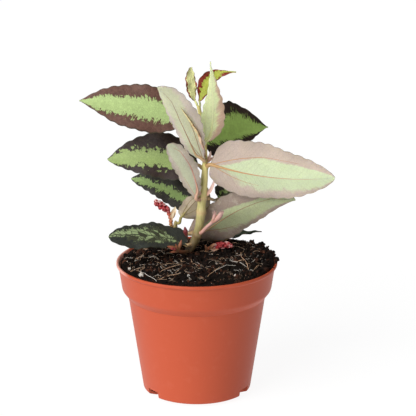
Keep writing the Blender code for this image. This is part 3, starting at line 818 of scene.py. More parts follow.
class Joint(NamedTuple):
    """Where a petiole starts and which way it leaves what carries it."""
    point: Vector
    way: Vector


def joint_on(path, radius, height, azimuth):
    """A joint on the side of a stem: azimuth 0 is its right, 90 its back and 270 its front."""
    turn = math.radians(azimuth)
    point, along = at_height(path, height)
    way = Vector((math.cos(turn), math.sin(turn), 0.0))
    way = (way - along * way.dot(along)).normalized()
    return Joint(point + way * (radius + GAP), way)


def on_stem(height, azimuth):
    """A joint on the main stem."""
    return joint_on(smooth_path(STEM_PATH, 6), stem_radius(height), height, azimuth)


def on_shoot(path, height, azimuth):
    """A joint on one of the two shoots."""
    return joint_on(smooth_path(path, 4), SHOOT_RADIUS, height, azimuth)


def stem_skin(settings):
    """A juicy green stem: brown and marked at the soil, blushed at its nodes, with fine long streaks, and
    painted lighter higher up to lift the shade that the leaves cast on it.
    """
    shader = Shader("stem_skin")
    height, swell, _ = shader.attribute("place")
    place = shader.position()
    x, y, z = shader.split(place)
    streak = shader.noise(shader.vector(x * 1500.0, y * 1500.0, z * 120.0), 1.0, 3.0)
    mottle = shader.noise(place, 260.0, 3.0)
    foot = 1 - (height + (mottle - 0.5) * 9.0).smooth(72.0, 96.0)
    colour = shader.layers(
        settings.green,
        (streak.smooth(0.3, 0.75) * 0.6, tint(158, 154, 74)),
        (mottle.smooth(0.45, 0.75) * 0.35, tint(214, 208, 150)),
        (swell * 0.35, settings.blush),
        # Painted light: the stem is painted paler from 94 to 120 mm up, where the leaves above shade it.
        (height.smooth(94.0, 120.0), tint(232, 218, 142)),
        (foot * 0.95, settings.foot))
    return shader.finish(colour, mottle * 0.2 + 0.35, streak, 0.00012, Subsurface_Weight=0.15,
                         Subsurface_Scale=0.002, Subsurface_Radius=(1.0, 0.9, 0.4))


SCALE_ROWS = 14
SCALE_SIDES = 10
SCALE_WAY = (0.0, -1.0, 0.2)


def add_scale(shape, points, widest, slot):
    """A slender pointed scale: flat across and hollow towards the front."""
    path = smooth_path(points, max(1, (SCALE_ROWS - 1) // (len(points) - 1)))
    way = unit(np.array(SCALE_WAY))
    turns = np.linspace(0, math.tau, SCALE_SIDES, endpoint=False)
    s, c = np.sin(turns), np.cos(turns)
    rings = []
    for k, (point, line) in enumerate(zip(path, unit(np.gradient(path, axis=0)))):
        t = k / (len(path) - 1)
        width = widest * (0.3 + 1.7 * t ** 0.7) * (1 - t) ** 0.8 + 0.05
        across = unit(np.cross(line, way))
        up = np.cross(across, line)
        rings.append(point + width * c[:, None] * across
                     + (0.16 * s + 0.5 * width * c ** 2 - 0.25 * width)[:, None] * up)
    shape.loft(rings, slot, shares(len(rings), SCALE_SIDES))


def blushed(name, low, high):
    """Soft pink growth that changes from one colour at its foot to another at its tip."""
    shader = Shader(name)
    shade = shader.attribute("place")[0]
    grain = shader.noise(shader.position(), 500.0, 3.0)
    colour = shader.mix((shade + (grain - 0.5) * 0.5).smooth(0.1, 0.9), low, high)
    return shader.finish(colour, 0.5, grain, 0.0001)


def withered_scale():
    """A rolled scale: pinkish at its foot, yellowish further up, with brown spots and a ragged brown edge."""
    shader = Shader("withered_scale")
    share, turn, _ = shader.attribute("place")
    grain = shader.noise(shader.position(), 600.0, 3.0)
    aged = (share + (grain - 0.5) * 0.5).smooth(0.1, 0.75)
    edge = 1 - abs(turn + (grain - 0.5) * 0.12 - 0.4).smooth(0.04, 0.1)
    colour = shader.layers(
        tint(232, 190, 170), (aged, tint(232, 218, 160)),
        (grain.smooth(0.5, 0.62) * 0.6, tint(208, 142, 100)),
        (edge * 0.8, tint(98, 58, 36)))
    return shader.finish(colour, 0.55, grain, 0.0002)


STIPULES = (
    (((4.6, 0.2, 117.6), (6.3, 0.0, 120.6), (6.9, 0.4, 123.8)), 1.0),
    (((4.8, 0.2, 117.8), (7.6, 0.2, 120.0), (8.8, 0.6, 121.6)), 0.7),
    (((2.2, -0.8, 101.2), (0.8, -1.9, 104.4), (-0.8, -2.6, 107.6)), 0.9),
    (((4.4, 0.4, 100.4), (7.2, 1.2, 104.4), (9.2, 1.6, 109.8)), 1.0),
    (((3.6, 0.6, 128.6), (1.8, -1.2, 132.6), (0.4, -2.2, 137.0)), 0.7),
)
RED_BUD = ((-3.2, 1.2, 75.4), (-4.6, 1.1, 78.6), (-5.4, 1.0, 81.6), (-5.9, 1.0, 84.6))
RED_BUD_RADII = ((0, 0.4, 0.75, 1), (0.4, 0.5, 1.3, 0.35))
RED_BUD_SIDES = 12
ROLLED_STIPULE = (
    (4.0, 0.4, 120.8), (3.6, -6.0, 126.0), (2.4, -12.0, 131.0), (0.9, -14.8, 136.4), (-1.9, -17.2, 141.6),
    (-4.7, -19.4, 146.4), (-7.4, -21.3, 150.6),
)
ROLL_RADIUS = 0.68
ROLL_SIDES = 16
STEM_SIDES = 26
SHOOT_SIDES = 18
SHOOT_END = (0.9, 0.7, 0.35)


def add_stem(shape):
    """The main stem, a little uneven, marked with its height and its nodes."""
    path = smooth_path(STEM_PATH, 9)
    radii = [stem_radius(point[2]) for point in path]
    rings = tube_rings(path, radii, STEM_SIDES)
    for i, ring in enumerate(rings):
        for j, point in enumerate(ring):
            wobble = noise.noise(Vector(point) * 0.35) * 0.12
            ring[j] = point + (point - path[i]) / radii[i] * wobble
    shape.loft(rings, 0, marks(path[:, 2], STEM_SIDES, [node_share(height) for height in path[:, 2]]))


def add_rolled_stipule(shape):
    """The large dry stipule, rolled into a crumpled tube."""
    path = smooth_path(ROLLED_STIPULE, 9)
    share = np.linspace(0, 1, len(path))
    roll = tube_rings(path, ROLL_RADIUS * np.sin(np.pi * (0.16 + 0.82 * share)) ** 0.7, ROLL_SIDES)
    for i, ring in enumerate(roll):
        for j, point in enumerate(ring):
            ring[j] = point + (point - path[i]) * 0.9 * noise.noise(Vector((j * 1.9, i * 0.28, 2.0)))
    shape.loft(roll, 3, [(s, j / ROLL_SIDES, 0.0) for s in share for j in range(ROLL_SIDES)])


def build_stems(settings):
    """The main stem with its stipules, and the two short shoots."""
    skin = stem_skin(settings)
    stem = Shape()
    add_stem(stem)
    for points, widest in STIPULES:
        add_scale(stem, points, widest, 1)
    path = smooth_path(RED_BUD, 6)
    radii = np.interp(np.linspace(0, 1, len(path)), *RED_BUD_RADII)
    stem.tube(path, radii, RED_BUD_SIDES, 2, shares(len(path), RED_BUD_SIDES))
    add_rolled_stipule(stem)
    pink = blushed("stipule_pink", tint(226, 176, 154), tint(240, 208, 198))
    red = blushed("bud_red", tint(84, 64, 46), tint(116, 36, 42))
    stem.piece("stem_main", [skin, pink, red, withered_scale()], ["main_stem"], "stem")
    for name, points, node in (("stem_side", SHOOT_PATH, "side_shoot"),
                               ("stem_back", BACK_SHOOT_PATH, "back_shoot")):
        shoot = Shape()
        path = smooth_path(points, 8)
        radii = [SHOOT_RADIUS * (1.0 - 0.12 * math.sin(0.9 * k)) for k in range(len(path))]
        radii[-len(SHOOT_END):] = [share * SHOOT_RADIUS for share in SHOOT_END]
        shoot.tube(path, radii, SHOOT_SIDES, 0, marks(path[:, 2], SHOOT_SIDES, 0.2))
        shoot.piece(name, [skin], [node], "stem")


# Leaves

class Side(NamedTuple):
    """One half of a blade: its greatest width and how it rises from the base and runs out to the tip."""
    wide: float
    shoulder: float
    taper: float


class Top(NamedTuple):
    """The upper side's pattern.

    plus and minus say how far the light band reaches on each half, at the base, in the middle and at the
    tip. feather, blotch and spots make its edge ragged, broken splits it into patches, and beyond rim the
    blade is dark all along its edge.
    """
    margin: tuple
    band: tuple
    plus: tuple
    minus: tuple
    feather: float = 0.3
    blotch: float = 0.2
    spots: float = 0.3
    broken: float = 0.0
    rim: float = 0.9


class Under(NamedTuple):
    """The underside's pattern: where the green field ends on each half, at the base, in the middle and at
    the tip, and how softly."""
    field: tuple
    margin: tuple
    vein: str
    plus: tuple
    minus: tuple
    plus_soft: float = 0.2
    minus_soft: float = 0.2


class Leaf(NamedTuple):
    """A leaf: base and tip of its midrib, the way its upper side faces, its halves and its patterns.

    bow lifts and sweep shifts the middle of the midrib, fold is the angle between the halves, and waves is
    the number of ripples along a half. veins says how far out and how far along each basal vein runs, and
    lean how far the midrib is off the middle at both ends.
    """
    name: str
    joint: Joint
    base: tuple
    tip: tuple
    face: tuple
    plus: Side
    minus: Side
    top: Top
    under: Under
    bow: float = 2.0
    sweep: float = 0.0
    fold: float = 8.0
    wave: float = 0.8
    waves: float = 2.5
    teeth: int = 10
    notch: float = 0.5
    petiole: float = 1.0
    veins: tuple = ((0.5, 0.8), (0.45, 0.5))
    lean: tuple = (0.0, 0.0)
    slot: str = "leaf_top"


def outline(t, side):
    """A half blade's width along the midrib, as a share of its greatest width."""
    peak = side.shoulder / (side.shoulder + side.taper)
    top = peak ** side.shoulder * (1 - peak) ** side.taper
    return t ** side.shoulder * (1 - t) ** side.taper / top


def blade_frame(leaf):
    """The midrib's guide point and the upper side's normal of a leaf."""
    base, tip, face = np.array(leaf.base), np.array(leaf.tip), np.array(leaf.face)
    chord = unit(tip - base)
    normal = unit(face - chord * face.dot(chord))
    side = np.cross(chord, normal)
    return (base + tip) / 2 + 2 * (normal * leaf.bow + side * leaf.sweep), normal


def blade_surface(leaf, t, across, quilting=0.0):
    """Points of the upper side, t along the midrib and -1 to 1 across, and how far out they lie."""
    t, across = np.asarray(t, float)[..., None], np.asarray(across, float)[..., None]
    base, tip = np.array(leaf.base), np.array(leaf.tip)
    guide, facing = blade_frame(leaf)
    rib = base * (1 - t) ** 2 + guide * 2 * t * (1 - t) + tip * t * t
    along = unit((guide - base) * 2 * (1 - t) + (tip - guide) * 2 * t)
    normal = unit(facing - along * (along @ facing)[..., None])
    side = np.cross(along, normal)
    plus, size = across > 0, np.abs(across)
    share = np.where(plus, outline(t, leaf.plus), outline(t, leaf.minus))
    wide = np.where(plus, leaf.plus.wide, leaf.minus.wide) * share
    wide = np.maximum(wide, leaf.petiole * (1 - t) + 0.3 * t)
    tooth = leaf.notch * 1.15 * np.minimum(1.0, 1.5 * share)
    tooth = tooth * np.abs(np.sin(np.pi * leaf.teeth * t)) ** TOOTH_SHARPNESS
    reach = size * wide - tooth * np.clip((size - TOOTH_ZONE) / (1 - TOOTH_ZONE), 0, 1)
    ripple = np.sin(math.tau * leaf.waves * t + np.where(plus, 1.1, 0.0))
    lift = (np.sqrt(reach ** 2 + FOLD_SOFTNESS ** 2) - FOLD_SOFTNESS) * math.sin(math.radians(leaf.fold))
    lift = lift + leaf.wave * share * (reach / np.maximum(wide, 1.0)) ** 2 * ripple
    lift = lift + UNEVEN * share * np.sin(t * 17.0 + across * 3.1) * np.sin(t * 9.0 - across * 5.3) * size
    length = np.linalg.norm(tip - base)
    phase = (t * length - reach * VEIN_SLANT) / VEIN_SPACING
    lift = lift + quilting * np.abs(np.sin(np.pi * phase)) * np.minimum(1.0, 4 * size * (1 - size)) * share
    point = rib + side * np.sign(across) * reach * math.cos(math.radians(leaf.fold)) + normal * lift
    return point, (np.sign(across) * reach)[..., 0]


def petiole_path(leaf):
    """The middle line of the petiole, from inside its stem to under the blade's base."""
    start, way = np.array(leaf.joint.point), np.array(leaf.joint.way)
    base = np.array(leaf.base)
    guide, facing = blade_frame(leaf)
    into = unit(guide - base)
    pull = np.linalg.norm(base - start) / 3
    first, second = start + way * pull, base - into * pull
    u = np.linspace(0, 1, PETIOLE_STEPS)[:, None]
    path = start * (1 - u) ** 3 + first * 3 * u * (1 - u) ** 2 + second * 3 * u * u * (1 - u) + base * u ** 3
    path = path - facing * PETIOLE_DEPTH * leaf.petiole * u
    return np.vstack((start - way * (GAP + PETIOLE_ROOT), path))


def midrib_across(leaf, t):
    """How far the visible midrib leans to one side of the blade's middle line."""
    low, high = leaf.lean
    return (low * (1 - t) + high * t) * np.minimum(1.0, t * 12) * np.minimum(1.0, (1 - t) * 5)


def under_line(leaf, t, across, depth):
    """A line on the underside, sunk to its middle."""
    point, _ = blade_surface(leaf, t, across)
    ahead, _ = blade_surface(leaf, np.minimum(t + 0.01, 1.0), across)
    aside, _ = blade_surface(leaf, t, np.asarray(across) + 0.02)
    normal = unit(np.cross(unit(ahead - point), unit(aside - point)))
    facing = blade_frame(leaf)[1]
    normal = normal * np.sign(normal @ facing)[:, None]
    return point - normal * np.asarray(depth, float).reshape(-1, 1)


def build_leaf(leaf, settings, ribs):
    """One leaf: a toothed, quilted blade with its petiole, midrib and two basal veins."""
    blade, columns = settings.blade / MM, settings.columns
    rows = leaf.teeth * settings.rows_per_tooth + 1
    t = np.linspace(0, 1, rows)[:, None] * np.ones((1, columns))
    across = np.ones((rows, 1)) * np.linspace(-1, 1, columns)
    top, reach = blade_surface(leaf, t, across, settings.quilting / MM)
    normal = unit(np.cross(np.gradient(top, axis=0), np.gradient(top, axis=1)))
    facing = blade_frame(leaf)[1]
    normal = normal * np.where(np.sum(normal * facing, -1, keepdims=True) < 0, -1.0, 1.0)
    low = top - normal * (blade * (1 - EDGE_THINNING * np.abs(across) ** 4))[..., None]
    rings = np.concatenate((top, low[:, ::-1]), 1)
    place = np.stack((t, across, reach), -1)
    place = np.concatenate((place, place[:, ::-1]), 1).reshape(-1, 3)
    slots = [0] * columns + [1] * (columns - 1) + [0]
    shape = Shape()
    shape.loft(rings, slots, place)

    stalk = petiole_path(leaf)
    rib_t = np.linspace(0.0, RIB_END, RIB_STEPS)
    fade = np.exp(-RIB_FADE * rib_t)
    rib_radius = RIB_RADIUS - RIB_THINNING * rib_t + (PETIOLE_THINNING * leaf.petiole - RIB_RADIUS) * fade
    rib_depth = blade * 0.75 + (PETIOLE_DEPTH * leaf.petiole - blade * 0.75) * fade
    rib = under_line(leaf, rib_t, midrib_across(leaf, rib_t), rib_depth)
    path = np.vstack((stalk, rib[1:]))
    stalk_radius = np.linspace(1.0, PETIOLE_THINNING, len(stalk)) * leaf.petiole
    share = np.concatenate((np.zeros(len(stalk)), rib_t[1:]))
    shape.tube(path, np.concatenate((stalk_radius, rib_radius[1:])), RIB_SIDES, 2, marks(share, RIB_SIDES))
    for sign, (spread, end) in zip((1, -1), leaf.veins):
        vein_t = np.linspace(0.01, end, VEIN_STEPS)
        vein_across = sign * spread * (1 - np.exp(-vein_t / VEIN_TURN))
        vein_radius = VEIN_RADIUS * (1 - vein_t / end) + VEIN_TIP_RADIUS
        vein = under_line(leaf, vein_t, vein_across, np.full(VEIN_STEPS, blade * 0.95))
        shape.tube(vein, vein_radius, VEIN_SIDES, 2, marks(vein_t, VEIN_SIDES, 1.0))
    materials = [leaf_top(leaf), leaf_underside(leaf), ribs[leaf.under.vein]]
    shape.piece(leaf.name + "_blade", materials, [leaf.name], leaf.slot)


def side_veins(slant):
    """A mask of thin slanting lines, one for each side vein."""
    return 1 - abs((slant * (1 / VEIN_SPACING)).fraction() - 0.5).smooth(0.0, 0.09)


def halves(across, plus, minus):
    """A value that may differ between the two halves of a blade."""
    return plus if abs(plus - minus) < 0.001 else (across > 0) * (plus - minus) + minus


def pattern_edge(t, across, plus, minus):
    """Where a pattern ends on each half of a blade, from its base to its tip."""
    edge = halves(across, plus[0], minus[0])
    for step, index in (((0.0, 0.42), 1), ((0.6, 0.92), 2)):
        rise = halves(across, plus[index] - plus[index - 1], minus[index] - minus[index - 1])
        if isinstance(rise, Link) or rise:
            edge = t.smooth(*step) * rise + edge
    return edge


def leaf_places(shader, leaf):
    """What both sides of a blade read: where they are on it, in shares and in millimetres, and its seed."""
    seed = sum(ord(letter) for letter in leaf.name) % 97 * 1.7
    t, across, reach = shader.attribute("place")
    along = t * (Vector(leaf.tip) - Vector(leaf.base)).length
    out = abs(reach)
    return t, across, reach, abs(across), out, along, along - out * VEIN_SLANT, seed


def leaf_top(leaf):
    """The upper side: a light mottled band between dark margins, feathered along the side veins."""
    look = leaf.top
    shader = Shader(leaf.name + "_top")
    t, across, reach, size, out, along, slant, seed = leaf_places(shader, leaf)
    net = shader.vector(along, reach, seed)
    half = (across > 0) * 7.3 + seed
    feather = shader.noise(shader.vector((slant + out * 0.4) * 1.9, out * 0.2, half), 1.0, 3.0, 0.6)
    cloud = shader.noise(shader.vector(along * 0.4, reach * 0.4, seed), 1.0, 3.0, 0.55)
    grain = shader.noise(shader.vector(along * 1.9, reach * 1.9, seed + 5.0), 1.0, 3.0)
    patch = shader.patches(net, 0.75)
    crack = 1 - shader.cells(net, 0.75).smooth(0.02, 0.14)
    edge = pattern_edge(t, across, look.plus, look.minus)
    ragged = (feather.smooth(0.3, 0.7) - 0.5) * (look.feather * 1.2) + (cloud - 0.5) * (look.blotch * 2)
    depth = edge + (ragged + (patch - 0.5) * look.spots) - size
    rim = (size + (grain - 0.5) * 0.1).smooth(look.rim - 0.03, look.rim + 0.03)
    light = depth.smooth(-0.04, 0.04) * (1 - rim)
    if look.broken:
        fan = shader.vector(slant, reach * 1.2, seed)
        chosen = shader.patches(fan, 0.34) * 0.6 + grain * 0.4 + (1 - look.broken) * 0.3
        inside = (shader.cells(fan, 0.34) + (grain - 0.5) * 0.1).smooth(0.02, 0.09)
        light = light * inside * chosen.smooth(0.42, 0.5)
        light = light * abs(reach - 0.7 + (cloud - 0.5) * 2.0).smooth(0.1, 0.5)
    veins = side_veins(slant + (cloud - 0.5) * 2.0)
    streaks = (feather * 0.5 + cloud * 0.5).smooth(0.35, 0.65)
    outer = 1 - depth.smooth(0.05, 0.35) * 0.6
    band = shader.layers(
        look.band,
        (streaks * 0.5, shaded(look.band, 0.74)),
        (patch.smooth(0.3, 0.7) * 0.3, shaded(look.band, 0.7)),
        (grain.smooth(0.5, 0.7) * 0.35, shaded(look.band, 1.3)),
        (crack * outer * look.spots, shaded(look.band, 0.45)))
    margin = shader.layers(
        look.margin,
        (cloud.smooth(0.35, 0.7) * 0.5, shaded(look.margin, 0.62)),
        (patch.smooth(0.35, 0.65) * 0.35, shaded(look.margin, 1.6)),
        (veins * 0.16, shaded(look.margin, 1.7)),
        ((grain * 0.5 + patch * 0.5).smooth(0.55, 0.75) * 0.18, OLIVE_FRINGE),
        (depth.smooth(-0.16, 0.0) * 0.35, OLIVE_FRINGE),
        (size.smooth(0.93, 0.98) * 0.6, OLIVE_RIM))
    colour = shader.mix(light, margin, band)
    bump = grain * 0.3 - veins * 0.25 + cloud * 0.5 - crack * 0.25
    return shader.finish(colour, grain * 0.2 + 0.36, bump, 0.00015, Specular_IOR_Level=0.22)


def leaf_underside(leaf):
    """The underside: a pale green field, pinkish margins and a faint net of veins."""
    look = leaf.under
    shader = Shader(leaf.name + "_underside")
    t, across, reach, size, out, along, slant, seed = leaf_places(shader, leaf)
    cloud = shader.noise(shader.vector(along * 0.2, reach * 0.2, seed), 1.0, 4.0, 0.6)
    fine = shader.noise(shader.vector(along * 1.4, reach * 1.4, seed + 3.0), 1.0, 3.0)
    streak = shader.noise(shader.vector(slant, out * 0.14, seed), 1.0, 3.0)
    net = 1 - shader.cells(shader.vector(along, reach, seed), 0.75).smooth(0.0, 0.12)
    edge = pattern_edge(t, across, look.plus, look.minus)
    soft = halves(across, look.plus_soft, look.minus_soft)
    blush = size - edge + (cloud - 0.5) * soft * 1.8 + (streak - 0.5) * soft * 1.2
    blush = blush.smooth(soft * -0.5, soft * 0.5)
    veins = side_veins(slant + (cloud - 0.5) * 5.0) * streak.smooth(0.35, 0.6)
    field = shader.layers(
        look.field,
        (cloud.smooth(0.4, 0.65) * 0.4, shaded(look.field, 0.88)),
        (fine.smooth(0.4, 0.6) * 0.25, shaded(look.field, 0.84)))
    margin = shader.layers(
        look.margin,
        (cloud.smooth(0.35, 0.6) * 0.4, shaded(look.margin, 0.84)),
        ((cloud * 0.6 + fine * 0.4).smooth(0.5, 0.66) * 0.5, PALE_PATCH),
        (fine.smooth(0.4, 0.6) * 0.3, shaded(look.margin, 0.76)),
        (size.smooth(0.6, 1.0) * 0.35, shaded(look.margin, 0.6)))
    colour = shader.layers(
        field, (blush, margin),
        (veins * 0.16 + net * 0.1, shaded(look.margin, 0.5)),
        (size.smooth(0.96, 0.995) * 0.45, shaded(look.margin, 0.4)))
    bump = veins * 0.4 + net * 0.25 + fine * 0.35 + cloud * 0.8
    return shader.finish(colour, fine * 0.15 + 0.5, bump, 0.00015, Specular_IOR_Level=0.3,
                         Subsurface_Weight=0.35, Subsurface_Scale=0.001, Subsurface_Radius=(1.0, 1.0, 0.5))


def rib_skin(name, foot, far):
    """The petiole and its veins, from one colour at the foot to another out in the blade."""
    shader = Shader(name)
    share, basal, _ = shader.attribute("place")
    grain = shader.noise(shader.position(), 700.0, 3.0)
    colour = shader.layers(
        foot, ((share * 1.6 + (grain - 0.5) * 0.3).smooth(0.0, 0.8), far),
        (basal * 0.4, far))
    return shader.finish(colour, 0.5, grain, 0.0001)


UNDER_GREEN = tint(214, 224, 184)
UNDER_PINK = tint(206, 186, 174)
DARK_TOP = tint(56, 45, 41)
BLACK_GREEN_TOP = tint(40, 42, 38)
OLIVE_FRINGE = tint(78, 80, 48)
OLIVE_RIM = tint(52, 54, 38)
PALE_PATCH = tint(226, 216, 196)


def leaves():
    """Every leaf of the plant, from the soil up."""
    small = dict(teeth=6, notch=0.3, petiole=0.8)
    young = dict(teeth=6, notch=0.3, petiole=0.55, bow=0.0, slot="young_leaf")
    under = dict(bow=0.0, slot="leaf_underside")
    even = (0.5, 0.5, 0.5)
    plain_under = Under(UNDER_GREEN, UNDER_PINK, "rib_tan", even, even)
    plain_top = Top(DARK_TOP, tint(150, 172, 100), even, even)
    young_under = Under(tint(206, 210, 130), tint(176, 96, 70), "rib_pale", (0.7, 0.7, 0.7), (0.7, 0.7, 0.7))
    return (
        Leaf("leaf_bottom_left", on_stem(75.2, 228), (-4.9, -3.0, 77.0), (-43.0, -12.0, 83.6),
             (0.0, -0.5, 0.87), Side(9.3, 0.16, 0.5), Side(9.2, 0.9, 0.5),
             Top(tint(52, 55, 51), tint(156, 174, 126), (-0.2, 0.62, 0.6), (0.0, 0.44, 0.0),
                 0.2, 0.25, 0.3, broken=0.97),
             plain_under, sweep=1.0, fold=6.0, teeth=9),
        Leaf("leaf_back_right", on_shoot(BACK_SHOOT_PATH, 75.0, 5), (14.5, 16.6, 73.8), (33.0, 26.0, 74.4),
             (0.0, -0.1, 1.0), Side(2.8, 0.5, 1.0), Side(3.0, 0.5, 1.0),
             Top(BLACK_GREEN_TOP, tint(104, 118, 96), (0.5, 0.6, 0.4), (0.3, 0.5, 0.4)), plain_under,
             bow=1.0, **small),
        Leaf("leaf_lower_right", on_stem(80.0, 95), (-3.8, 8.3, 79.4), (48.7, 2.0, 98.2), (0.0, 0.95, 0.3),
             Side(10.2, 0.7, 0.6), Side(14.8, 0.5, 1.2), plain_top,
             Under(tint(188, 196, 154), tint(168, 150, 138), "rib_tan", (-0.1, 0.3, 0.8), (0.1, 0.7, 0.4),
                   0.1, 0.3),
             sweep=4.0, veins=((0.3, 0.3), (0.72, 0.45)), lean=(-0.4, 0.45), **under),
        Leaf("leaf_behind_stem", on_shoot(SHOOT_PATH, 85.0, 0), (-7.7, 6.4, 88.4), (5.4, 6.2, 103.4),
             (0.0, 1.0, 0.2), Side(4.6, 0.4, 0.8), Side(9.0, 0.6, 0.8), plain_top,
             Under(tint(192, 178, 152), tint(188, 172, 152), "rib_green", even, even), **under, **small),
        Leaf("leaf_lower_left", on_shoot(BACK_SHOOT_PATH, 91.0, 185), (-1.6, 14.4, 92.0),
             (-33.0, 26.0, 102.4), (-0.15, -0.85, 0.5), Side(7.0, 0.5, 0.7), Side(7.3, 0.24, 0.65),
             Top(tint(48, 46, 42), tint(150, 176, 108), (0.15, 0.22, 0.4), (0.5, 0.34, 0.6), 0.2, 0.3, 0.4),
             plain_under, sweep=2.2, teeth=8),
        Leaf("leaf_small_right", on_stem(99.2, 20), (10.9, 10.0, 96.8), (21.4, 13.2, 105.2), (0.3, -0.8, 0.5),
             Side(5.6, 0.5, 0.8), Side(5.8, 0.35, 0.8),
             Top(tint(66, 64, 58), tint(168, 190, 120), (0.3, 0.45, 0.3), (0.3, 0.4, 0.3),
                 0.3, 0.3, 0.4, broken=0.75),
             plain_under, bow=0.0, **small),
        Leaf("leaf_small_left", on_stem(99.4, 235), (-0.2, -3.0, 100.8), (-13.7, -5.0, 128.8),
             (0.1, 1.0, 0.2), Side(5.0, 0.6, 0.45), Side(7.0, 0.6, 0.5), plain_top,
             Under(tint(184, 187, 160), tint(178, 166, 152), "rib_red", (0.3, 0.4, 0.6), (0.3, 0.4, 0.6),
                   0.3, 0.2),
             sweep=-1.0, fold=12.0, teeth=8, veins=((0.4, 0.4), (0.8, 0.3)), lean=(-0.5, -0.5), **under),
        Leaf("leaf_middle_left", on_stem(114.4, 130), (0.4, 5.2, 115.5), (-44.2, 13.0, 116.2),
             (-0.05, -0.85, 0.52), Side(13.2, 0.7, 1.0), Side(10.9, 0.3, 0.7),
             Top(tint(48, 35, 33), tint(154, 174, 106), (0.4, 0.34, 0.6), (0.5, 0.45, 0.95),
                 0.15, 0.25, 0.45),
             plain_under, sweep=1.5, teeth=9),
        Leaf("leaf_large_right", on_stem(116.4, 306), (6.8, -2.4, 118.0), (66.9, -12.0, 113.7),
             (0.0, 0.98, 0.15), Side(16.9, 0.3, 0.66), Side(13.2, 0.3, 0.6), plain_top,
             Under(tint(205, 217, 179), tint(202, 184, 171), "rib_orange", (0.0, 0.55, 0.5), (0.0, 0.6, 0.7),
                   0.08, 0.35),
             sweep=-3.6, teeth=11, veins=((0.68, 0.72), (0.52, 0.4)), **under),
        Leaf("leaf_diagonal", on_stem(119.6, 258), (3.3, -4.4, 121.0), (-18.3, -24.0, 161.6), (0.1, 1.0, 0.4),
             Side(6.3, 0.32, 0.8), Side(9.6, 1.0, 0.6), plain_top,
             Under(tint(208, 210, 177), tint(214, 200, 188), "rib_tan", (0.9, 0.6, 0.9), (0.35, 0.5, 0.8),
                   0.4, 0.3),
             bow=-2.0, sweep=-1.5, fold=12.0, veins=((0.4, 0.3), (0.42, 0.7)), lean=(0.5, -0.35),
             slot="leaf_underside"),
        Leaf("leaf_upright", on_stem(128.6, 272), (4.1, -3.0, 129.4), (6.6, -14.0, 171.4), (0.0, 1.0, 0.2),
             Side(4.1, 0.5, 1.7), Side(8.2, 0.5, 1.4), plain_top,
             Under(tint(236, 246, 188), tint(214, 180, 156), "rib_pale", (1.2, 1.2, 1.2), (0.4, 0.6, 0.95),
                   0.2, 0.4),
             bow=-1.0, sweep=-1.2, fold=12.0, teeth=9, lean=(-0.3, -0.1), slot="leaf_underside"),
        Leaf("leaf_upper_right", on_stem(126.0, 80), (3.0, 7.8, 125.8), (36.1, 34.0, 127.1), (0.1, -0.8, 0.6),
             Side(12.0, 0.25, 1.25), Side(17.0, 1.5, 1.35),
             Top(tint(56, 43, 38), tint(172, 204, 108), (0.1, 0.4, 0.95), (0.75, 0.6, 0.4), 0.3, 0.05, 0.15),
             plain_under, teeth=9),
        Leaf("leaf_upper_left", on_stem(138.0, 148), (-0.5, 4.4, 139.4), (-57.0, 4.0, 148.2),
             (-0.05, -0.75, 0.66), Side(10.8, 0.9, 1.0), Side(15.4, 0.85, 1.1),
             Top(tint(106, 76, 66), tint(186, 209, 138), (0.5, 0.36, 0.45), (0.62, 0.5, 0.75),
                 0.2, 0.12, 0.25, rim=0.93),
             plain_under, bow=3.0, sweep=1.0, teeth=11),
        Leaf("leaf_tip_left", Joint(Vector((0.1, 3.5, 146.5)), Vector((-0.3, 0.1, 0.95))), (-0.8, 4.0, 148.2),
             (-2.3, 4.0, 164.7), (0.3, -1.0, 0.2), Side(2.7, 0.9, 0.95), Side(3.0, 0.45, 0.4),
             Top(tint(160, 72, 46), tint(250, 250, 176), (0.72, 0.76, 0.9), (0.66, 0.74, 0.9),
                 0.15, 0.2, 0.3, rim=0.94),
             young_under, sweep=-1.0, **young),
        Leaf("leaf_tip_right", Joint(Vector((1.7, 2.7, 146.5)), Vector((0.0, -0.1, 1.0))), (1.4, 2.2, 148.2),
             (19.2, 3.0, 162.4), (0.0, -1.0, 0.1), Side(4.4, 0.6, 1.1), Side(3.5, 1.4, 2.1),
             Top(tint(132, 50, 34), tint(196, 204, 88), (0.8, 0.8, 0.2), (0.25, 0.4, 0.9),
                 0.4, 0.5, 0.5, rim=0.95),
             young_under, sweep=-6.0, **young),
    )


RIB_COLOURS = (
    ("rib_orange", tint(206, 166, 114), tint(206, 148, 112)),
    ("rib_tan", tint(198, 166, 122), tint(152, 106, 76)),
    ("rib_red", tint(200, 158, 132), tint(184, 118, 100)),
    ("rib_green", tint(158, 146, 84), tint(136, 112, 84)),
    ("rib_pale", tint(214, 214, 148), tint(242, 244, 192)),
)


def build_leaves(settings):
    """Every leaf, with one of the five colours of petioles and veins."""
    ribs = {name: rib_skin(name, foot, far) for name, foot, far in RIB_COLOURS}
    for leaf in leaves():
        build_leaf(leaf, settings, ribs)


# Flowers

def bud_skin(settings):
    """Buds and open flowers, from deep red through pink to near white."""
    shader = Shader("bud_skin")
    shade = shader.attribute("place")[0]
    grain = shader.noise(shader.position(), 900.0, 3.0)
    mixed = shade + (grain - 0.5) * 0.35
    colour = shader.layers(
        shaded(settings.red, 0.5), (mixed.smooth(0.0, 0.6), settings.red),
        (mixed.smooth(0.68, 0.92), settings.pale))
    return shader.finish(colour, 0.45, grain, 0.00012)


FLOWER_SEED = 5
PETALS = 5
BUNCH_TURN = 2.39996


